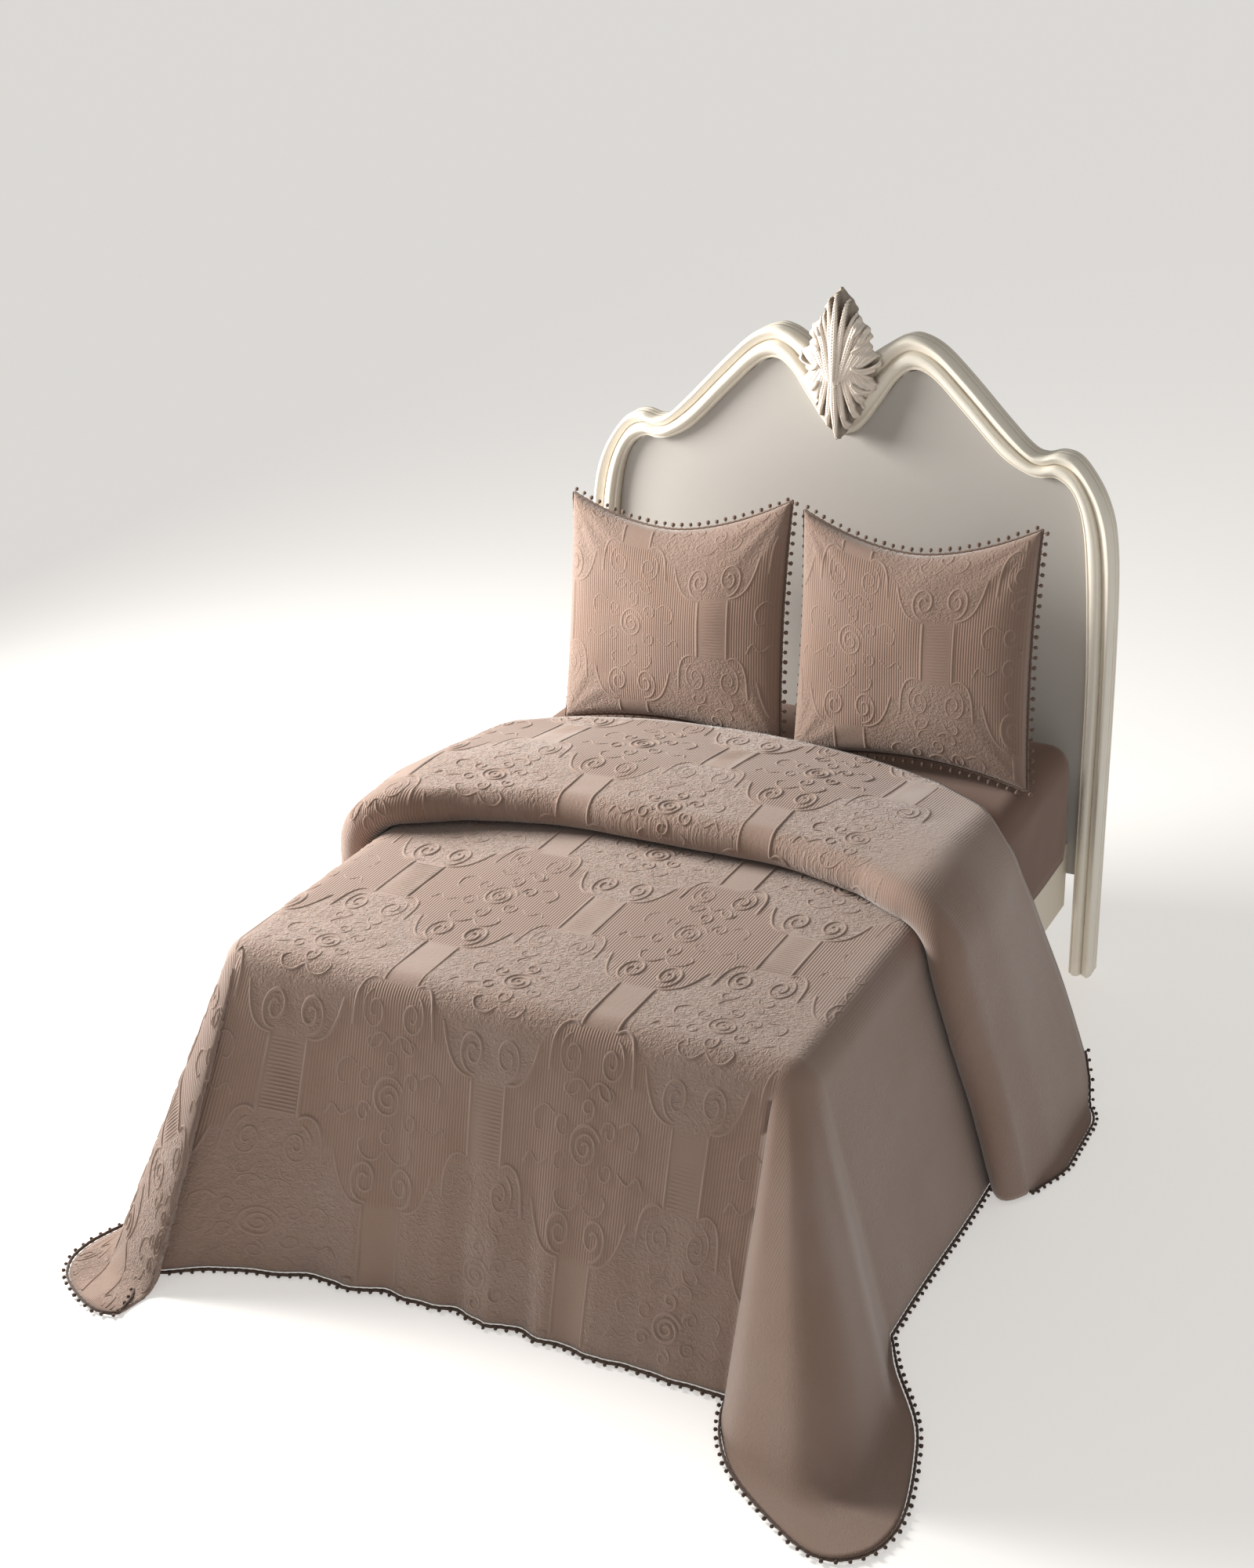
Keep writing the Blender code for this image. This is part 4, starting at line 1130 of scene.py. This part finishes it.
def make_sham(node, middle_x, phase, tilt, ladder_x, ladder_z):
    low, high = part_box(node)
    up = Vector((0.0, math.sin(LEAN), math.cos(LEAN)))
    front = Vector((0.0, -math.cos(LEAN), math.sin(LEAN)))
    side = Vector((1.0, 0.0, 0.0))
    middle_y = SHAM_FOOT_Y + SHAM_HIGH / 2 * math.sin(LEAN)
    # the lowest corner of the CAD sham fixes the height of the middle
    drop = SHAM_HIGH / 2 * math.cos(LEAN) + 0.003 * math.sin(LEAN)
    centre = Vector((middle_x, middle_y, low.z + drop))
    n = 72
    marks = [0.45 * (2 * k / n - 1) + 0.55 * math.sin(math.pi * (k / n - 0.5)) for k in range(n + 1)]

    def puff(a, b, face_side):
        full = max(0.0, (1 - a * a) * (1 - b * b))
        depth = SHAM_CROWN * full**0.36
        depth *= 1 + 0.05 * math.sin(3.1 * a + phase) * math.cos(2.3 * b - phase)
        depth += full * 0.006 * noise.noise(Vector((a * 2.2, b * 2.2, phase + face_side)))
        for ca, cb in ((-1, -1), (1, -1), (1, 1), (-1, 1)):
            da, db = a - ca, b - cb
            far = math.hypot(da, db)
            angle = math.atan2(db, da)
            fold = math.exp(-((far / 0.55) ** 2)) * ease(0.02, 0.2, far)
            depth += 0.0022 * fold * math.sin(13 * angle + phase) * min(1.0, full * 6)
        return max(depth, 0.0)

    def place(a, b, face_side, lift=0.0):
        x, z = sham_edge(a, b, tilt)
        return centre + side * x + up * z + front * face_side * (puff(a, b, face_side) + CLOTH / 2 + lift)

    points, flat_places, index, faces = [], [], {}, []
    for face_side in (1, -1):
        for i, a in enumerate(marks):
            for j, b in enumerate(marks):
                index[face_side, i, j] = len(points)
                points.append(place(a, b, face_side))
                flat_places.append((a * SHAM_WIDE / 2, b * SHAM_HIGH / 2))
    for face_side in (1, -1):
        for i in range(n):
            for j in range(n):
                ring = [
                    index[face_side, i, j],
                    index[face_side, i + 1, j],
                    index[face_side, i + 1, j + 1],
                    index[face_side, i, j + 1],
                ]
                faces.append(tuple(ring if face_side > 0 else ring[::-1]))
    edge = [(i, 0) for i in range(n)] + [(n, j) for j in range(n)]
    edge += [(i, n) for i in range(n, 0, -1)] + [(0, j) for j in range(n, 0, -1)]
    for (i, j), (k, m) in zip(edge, edge[1:] + edge[:1]):
        faces.append((index[-1, i, j], index[-1, k, m], index[1, k, m], index[1, i, j]))
    sham = facing_out(make(node + "_cover", points, faces, quilt))
    shift = (ladder_x, ladder_z - START_T)
    paint_ground(sham, flat_places, [0.7] * len(points), shift)

    def face_surface(s, t):
        a, b = s / (SHAM_WIDE / 2), t / (SHAM_HIGH / 2)
        if abs(a) > 0.97 or abs(b) > 0.965:
            return None
        return place(a, b, 1, -CLOTH / 2)

    lines = pattern_lines(-0.33, 0.33, -0.32, 0.32, shift[0], shift[1])
    rib_points, ribs = ribbons(lines, face_surface, lambda s, t: 0.62)
    relief = make(node + "_quilting", rib_points, ribs, quilt)
    relief.data.uv_layers.new(name="flat")
    for name, value in (("stripe", 0.0), ("stipple", 0.0), ("strong", 1.0)):
        attribute = relief.data.attributes.new(name, "FLOAT", "POINT")
        attribute.data.foreach_set("value", [value] * len(relief.data.vertices))
    path = [sham_edge(marks[i], marks[j], tilt) for i, j in edge]
    line, outs, ups = [], [], []
    count = len(path)
    for i in range(count):
        sides = []
        for a, b in ((i - 1, i), (i, (i + 1) % count)):
            run = Vector((path[b][0] - path[a][0], path[b][1] - path[a][1])).normalized()
            sides.append(Vector((run.y, -run.x)))
        out = (sides[0] + sides[1]).normalized()
        reach = 0.00325 / out.dot(sides[0])
        line.append(centre + side * (path[i][0] + out.x * reach) + up * (path[i][1] + out.y * reach))
        # on the left edge the pompoms hang behind the sham
        outs.append((side * out.x + up * out.y - front * 4.0 * ease(0.3, 0.9, -out.x)).normalized())
        ups.append(front)
    edging = trim(node + "_pompoms", line, outs, ups, True, gap=0.0265, stand=0.0115, size=0.0058)
    return sham, relief, edging


sham_parts = {
    "sham_left": make_sham("sham_left", -0.333, 0.4, 0.045, 0.150, -0.010),
    "sham_right": make_sham("sham_right", 0.357, 1.7, 0.020, 0.095, 0.020),
}

# ---------------------------------------------------------------- mattress


def rounded_box(half_x, y0, y1, z0, z1, radius, steps_round, rows):
    def ring(inset, z):
        line = []
        r = max(radius - inset, 0.0005)
        for cx, cy, start in (
            (half_x - radius, y1 - radius, 0),
            (-half_x + radius, y1 - radius, 90),
            (-half_x + radius, y0 + radius, 180),
            (half_x - radius, y0 + radius, 270),
        ):
            for k in range(steps_round + 1):
                a = math.radians(start + 90 * k / steps_round)
                line.append(Vector((cx + r * math.cos(a), cy + r * math.sin(a), z)))
        full = []
        for a, b in zip(line, line[1:] + line[:1]):
            count = max(1, int((b - a).length / 0.05))
            full += [a.lerp(b, k / count) for k in range(count)]
        return full

    rings = [ring(0.0, z0 + (z1 - radius - z0) * k / rows) for k in range(rows)]
    for k in range(steps_round + 1):
        a = math.radians(90 * k / steps_round)
        rings.append(ring(radius * (1 - math.cos(a)) * 0.99, z1 - radius * (1 - math.sin(a))))
    count = min(len(r) for r in rings)
    return rings, count


rings, count = rounded_box(0.7275, 0.0095, 1.985, 0.400, MATTRESS_TOP, 0.075, 8, 8)
template = rings[0]
clean = []
for ring in rings:
    line = [ring[0]]
    total = [0.0]
    for a, b in zip(ring, ring[1:] + ring[:1]):
        total.append(total[-1] + (b - a).length)
    even = []
    k = 0
    for i in range(220):
        s = total[-1] * i / 220
        while total[k + 1] < s:
            k += 1
        f = (s - total[k]) / max(1e-9, total[k + 1] - total[k])
        even.append(ring[k].lerp(ring[(k + 1) % len(ring)], f))
    clean.append(even)
points = [p for ring in clean for p in ring]
faces_m = [tuple(range(220))[::-1]]
for k in range(len(clean) - 1):
    for i in range(220):
        j = (i + 1) % 220
        faces_m.append((k * 220 + i, k * 220 + j, (k + 1) * 220 + j, (k + 1) * 220 + i))
faces_m.append(tuple((len(clean) - 1) * 220 + i for i in range(220)))
for i, p in enumerate(points):
    if p.z < MATTRESS_TOP - 0.03 and p.y > 0.9:
        wrinkle = 0.003 * noise.noise(Vector((p.x * 7, p.y * 7, p.z * 16)))
        inward = Vector((-1 if p.x > 0.6 else 1 if p.x < -0.6 else 0, -1 if p.y > 1.9 else 0, 0))
        points[i] = p + inward * (0.002 + wrinkle)
mattress = make("mattress_sheeted", points, faces_m, sheet_cloth)

# ---------------------------------------------------------------- headboard

SHIFT_X = 0.012
BOARD = (
    ("out_x", "out_z", "in_x", "in_z"),
    (0.000, 1.690, 0.000, 1.500),
    (0.060, 1.722, 0.050, 1.525),
    (0.120, 1.762, 0.105, 1.600),
    (0.160, 1.784, 0.150, 1.665),
    (0.205, 1.790, 0.197, 1.697),
    (0.270, 1.762, 0.255, 1.678),
    (0.350, 1.690, 0.345, 1.592),
    (0.455, 1.582, 0.450, 1.487),
    (0.525, 1.516, 0.520, 1.447),
    (0.565, 1.502, 0.560, 1.438),
    (0.610, 1.512, 0.600, 1.442),
    (0.655, 1.500, 0.640, 1.418),
    (0.700, 1.450, 0.667, 1.370),
    (0.737, 1.385, 0.684, 1.300),
    (0.762, 1.300, 0.695, 1.200),
    (0.776, 1.150, 0.705, 1.050),
    (0.782, 0.850, 0.714, 0.830),
    (0.782, 0.420, 0.714, 0.420),
    (0.782, 0.000, 0.714, 0.000),
)
# across: 0 outer edge, 1 inner edge; hollow: how much old colour stays in it
MOULDING = (
    ("across", "y", "hollow"),
    (0.00, 2.022, 0.25),
    (0.05, 2.008, 0.10),
    (0.12, 2.002, 0.00),
    (0.20, 2.004, 0.00),
    (0.30, 2.010, 0.05),
    (0.37, 2.013, 0.15),
    (0.41, 2.018, 0.95),
    (0.45, 2.013, 0.30),
    (0.52, 2.003, 0.00),
    (0.62, 2.000, 0.00),
    (0.72, 2.001, 0.00),
    (0.80, 2.006, 0.05),
    (0.86, 2.014, 0.45),
    (0.91, 2.013, 0.05),
    (0.96, 2.018, 0.05),
    (1.00, 2.034, 0.80),
)
# Section of the side face, from its back to its front
SIDE_FACE = (
    (0.00, 2.078, 0.30),
    (0.00, 2.066, 0.25),
    (0.04, 2.063, 0.80),
    (0.04, 2.060, 0.80),
    (0.00, 2.057, 0.25),
    (0.00, 2.044, 0.25),
    (0.04, 2.041, 0.80),
    (0.04, 2.038, 0.80),
    (0.00, 2.035, 0.30),
)


def board_line(count):
    marks = [[along(BOARD, name, k / count) for name in BOARD[0]] for k in range(count + 1)]
    left = [(-r[0], r[1], -r[2], r[3]) for r in marks[::-1]]
    return left + [tuple(r) for r in marks[1:]]


def set_hollow(thing, values):
    attribute = thing.data.attributes.new("hollow", "FLOAT", "POINT")
    attribute.data.foreach_set("value", np.array(values, np.float32))


stations = board_line(150)
profile = []
for k in range(81):
    f = k / 80
    profile.append((f, at_value(MOULDING, "across", "y", f), at_value(MOULDING, "across", "hollow", f)))
profile += [(1.0, 2.078, 0.2)] + list(SIDE_FACE)
points, hollows, faces_f = [], [], []
width = len(profile)
for ox, oz, ix, iz in stations:
    for f, y, hollow in profile:
        points.append(Vector((SHIFT_X + ox + (ix - ox) * f, y, oz + (iz - oz) * f)))
        hollows.append(hollow)
for k in range(len(stations) - 1):
    a, b = k * width, (k + 1) * width
    for i in range(width):
        j = (i + 1) % width
        faces_f.append((a + i, a + j, b + j, b + i))
faces_f.append(tuple(range(width))[::-1])
faces_f.append(tuple(range(len(points) - width, len(points))))
board = facing_out(make("headboard_moulding", points, faces_f, ivory))
set_hollow(board, hollows)

def strand(x, z, angle, length, bend, wide, high, level):
    """A carved leaf: its middle line, half width, height and the level that it starts from."""
    line = []
    a = math.radians(angle)
    for k in range(29):
        line.append((x, z))
        a_here = a + math.radians(bend) * (k / 28) ** 1.5
        x += length / 28 * math.cos(a_here)
        z += length / 28 * math.sin(a_here)
    return np.array(line), wide, high, level


STRANDS = []
for m in (-1, 1):
    for k in range(6):
        angle = 90 - m * (3 + 10 * k)
        STRANDS.append(strand(m * (0.004 + 0.008 * k), -0.05 + 0.008 * k, angle, 0.235 - 0.026 * k, -m * (8 - 2 * k), 0.0115, 0.016, 0.026 - 0.003 * k))
        angle = 90 - m * (9 + 11 * k)
        STRANDS.append(strand(m * (0.010 + 0.008 * k), -0.01 + 0.004 * k, angle, 0.165 - 0.018 * k, -m * 14, 0.0095, 0.013, 0.018 - 0.002 * k))
        angle = -90 + m * (4 + 9 * k)
        STRANDS.append(strand(m * (0.005 + 0.010 * k), 0.01 - 0.004 * k, angle, 0.200 - 0.024 * k, m * (10 - 3 * k), 0.0120, 0.015, 0.022 - 0.003 * k))
    for z, angle, length, bend in ((0.045, 20, 0.075, 95), (0.000, -25, 0.085, 120), (-0.045, -50, 0.080, 100), (0.085, 55, 0.060, 70)):
        angle = angle if m > 0 else 180 - angle
        STRANDS.append(strand(m * 0.050, z, angle, length, m * bend, 0.0105, 0.016, 0.022))
    STRANDS.append(strand(m * 0.020, -0.135, -90 + m * 24, 0.075, -m * 60, 0.009, 0.014, 0.018))
STRANDS.append(strand(0.0, -0.03, 92, 0.225, -4, 0.0120, 0.017, 0.031))
STRANDS.append(strand(0.0, -0.02, -91, 0.180, 5, 0.0120, 0.016, 0.028))


def carve(x, z):
    """Height of the carving at many places, and how dark its creases are painted there: dark glaze together with
    painted shade in the low places between the leaves.
    """
    height = np.zeros_like(x)
    crease_shade = np.full_like(x, 0.9)
    for line, wide, high, level in STRANDS:
        far = np.hypot(x[:, None] - line[None, :, 0], z[:, None] - line[None, :, 1])
        near = far.argmin(axis=1)
        u = near / (len(line) - 1)
        shape = wide * np.sin(math.pi * (0.10 + 0.88 * u)) ** 0.55
        q = far[np.arange(len(x)), near] / np.maximum(shape, 1e-4)
        inside = q < 1.0
        vein = 1 - 0.28 * np.exp(-((q / 0.16) ** 2))
        value = level * (1 - 0.5 * u) + high * np.sqrt(np.clip(1 - q**2, 0, 1)) * vein
        take = inside & (value > height)
        height[take] = value[take]
        # Painted shade: leaf edges and the low ground between the leaves get the dark colour where shade would fall, a
        # little also along the veins.
        edge = np.clip((q - 0.68) / 0.24, 0, 1)
        middle = 0.25 * np.exp(-((q / 0.14) ** 2))
        crease_shade[take] = np.maximum(edge, middle)[take]
    return height, crease_shade


def crest_half(b):
    half = 0.112 * (1 - abs(b) ** 1.25) ** 0.8
    half *= 1 + 0.10 * math.sin(5.5 * math.pi * b) + 0.045 * math.sin(17 * math.pi * b)
    return max(half, 0.004)


ACROSS, HIGH = 150, 270
places = []
for j in range(HIGH + 1):
    b = 2 * j / HIGH - 1
    half = crest_half(b)
    for i in range(ACROSS + 1):
        a = 2 * i / ACROSS - 1
        places.append((a * half, b * 0.206, a, b))
places = np.array(places)
relief, crease_shades = carve(places[:, 0], places[:, 1])
points, hollows, faces_c = [], [], []
for (x, z, a, b), high, crease_shade in zip(places, relief, crease_shades):
    body = 0.016 * (1 - abs(a) ** 2.4) * (0.35 + 0.65 * (1 - b * b))
    depth = 0.006 + body + high * 1.05 * (1 - abs(a) ** 8)
    points.append(Vector((SHIFT_X + x, 2.0 - 0.0008 - depth, 1.706 + z)))
    hollows.append(float(crease_shade))
wide = ACROSS + 1
for j in range(HIGH):
    for i in range(ACROSS):
        a = j * wide + i
        faces_c.append((a, a + 1, a + 1 + wide, a + wide))
edge = list(range(wide)) + [j * wide + ACROSS for j in range(1, HIGH + 1)]
edge += [HIGH * wide + i for i in range(ACROSS - 1, -1, -1)] + [j * wide for j in range(HIGH - 1, 0, -1)]
base = len(points)
for i in edge:
    points.append(Vector((points[i].x, 2.0 - 0.0008, points[i].z)))
    # Painted shade along the rim where the carving meets the panel.
    hollows.append(0.6)
count = len(edge)
for k in range(count):
    m = (k + 1) % count
    faces_c.append((edge[m], edge[k], base + k, base + m))
faces_c.append(tuple(base + k for k in range(count))[::-1])
crest = facing_out(make("headboard_carving", points, faces_c, carving))
set_hollow(crest, hollows)

# ---------------------------------------------------------------- frame pieces

for name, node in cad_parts.items():
    node.data.materials.clear()
    if name == "headboard_panel":
        node.data.materials.append(panel_paint)
    elif name == "slat_deck":
        node.data.materials.append(board_wood)
    else:
        node.data.materials.append(plain_paint)

for piece, node in (
    (spread, "bedspread"),
    (quilting, "bedspread"),
    (quilting_band, "bedspread"),
    (hem_trim, "hem_trim"),
    (band_trims[0], "band_trim_left"),
    (band_trims[1], "band_trim_right"),
    (mattress, "mattress"),
    (board, "headboard_frame"),
    (crest, "headboard_crest"),
):
    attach(piece, "root")
    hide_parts(node)
for node, (sham, relief, edging) in sham_parts.items():
    for piece, of_node in ((sham, node), (relief, node), (edging, node + "_trim")):
        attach(piece, "root")
        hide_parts(of_node)

# ---------------------------------------------------------------- floor, light, camera

floor_mesh = bpy.data.meshes.new("floor")
floor_mesh.from_pydata([(-60, -60, 0), (60, -60, 0), (60, 60, 0), (-60, 60, 0)], [], [(0, 1, 2, 3)])
floor = bpy.data.objects.new("floor", floor_mesh)
bpy.context.scene.collection.objects.link(floor)
floor_material, tree, shader = nodes_of("floor_pale")
shader.inputs["Base Color"].default_value = (0.80, 0.79, 0.77, 1.0)
shader.inputs["Emission Color"].default_value = (1.0, 0.985, 0.965, 1.0)
shader.inputs["Emission Strength"].default_value = 0.42
shader.inputs["Roughness"].default_value = 0.9
floor_mesh.materials.append(floor_material)
floor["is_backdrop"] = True

world = bpy.data.worlds.new("studio")
bpy.context.scene.world = world
world.use_nodes = True
world.node_tree.nodes["Background"].inputs[0].default_value = (1.0, 0.97, 0.93, 1.0)
world.node_tree.nodes["Background"].inputs[1].default_value = 0.36


def lamp(name, place, target, size, power, colour):
    data = bpy.data.lights.new(name, "AREA")
    data.shape = "RECTANGLE"
    data.size, data.size_y = size
    data.energy = power
    data.color = colour
    thing = bpy.data.objects.new(name, data)
    bpy.context.scene.collection.objects.link(thing)
    thing.location = place
    thing.rotation_mode = "QUATERNION"
    thing.rotation_quaternion = (Vector(target) - Vector(place)).to_track_quat("-Z", "Y")
    return thing


lamp("key", (-3.2, -0.1, 2.3), (0.1, 0.1, 0.6), (1.5, 1.5), 310.0, (1.0, 0.965, 0.92))
lamp("fill", (2.8, -4.5, 2.6), (0.2, 0.0, 0.7), (3.0, 2.5), 12.0, (1.0, 0.98, 0.96))

YAW, PITCH, ROLL_DEG = 26.57, 23.24, -1.26
yaw, pitch, roll = (math.radians(v) for v in (YAW, PITCH, ROLL_DEG))
ahead = Vector((-math.sin(yaw) * math.cos(pitch), math.cos(yaw) * math.cos(pitch), -math.sin(pitch)))
right = Vector((math.cos(yaw), math.sin(yaw), 0.0))
up = right.cross(ahead)
right, up = (
    right * math.cos(roll) + up * math.sin(roll),
    -right * math.sin(roll) + up * math.cos(roll),
)
camera_data = bpy.data.cameras.new("camera")
camera_data.sensor_width = 36.0
camera_data.lens = 2981.8 / 2000.0 * 36.0
camera_data.clip_end = 60.0
camera = bpy.data.objects.new("camera", camera_data)
bpy.context.scene.collection.objects.link(camera)
camera.matrix_world = Matrix.Translation(Vector((2.2615, -3.8465, 3.1629)) + MOVE) @ Matrix(
    (
        (right.x, up.x, -ahead.x, 0.0),
        (right.y, up.y, -ahead.y, 0.0),
        (right.z, up.z, -ahead.z, 0.0),
        (0.0, 0.0, 0.0, 1.0),
    )
)
bpy.context.scene.camera = camera
bpy.context.scene.view_settings.view_transform = "Standard"

bpy.context.view_layer.update()
low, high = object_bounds()
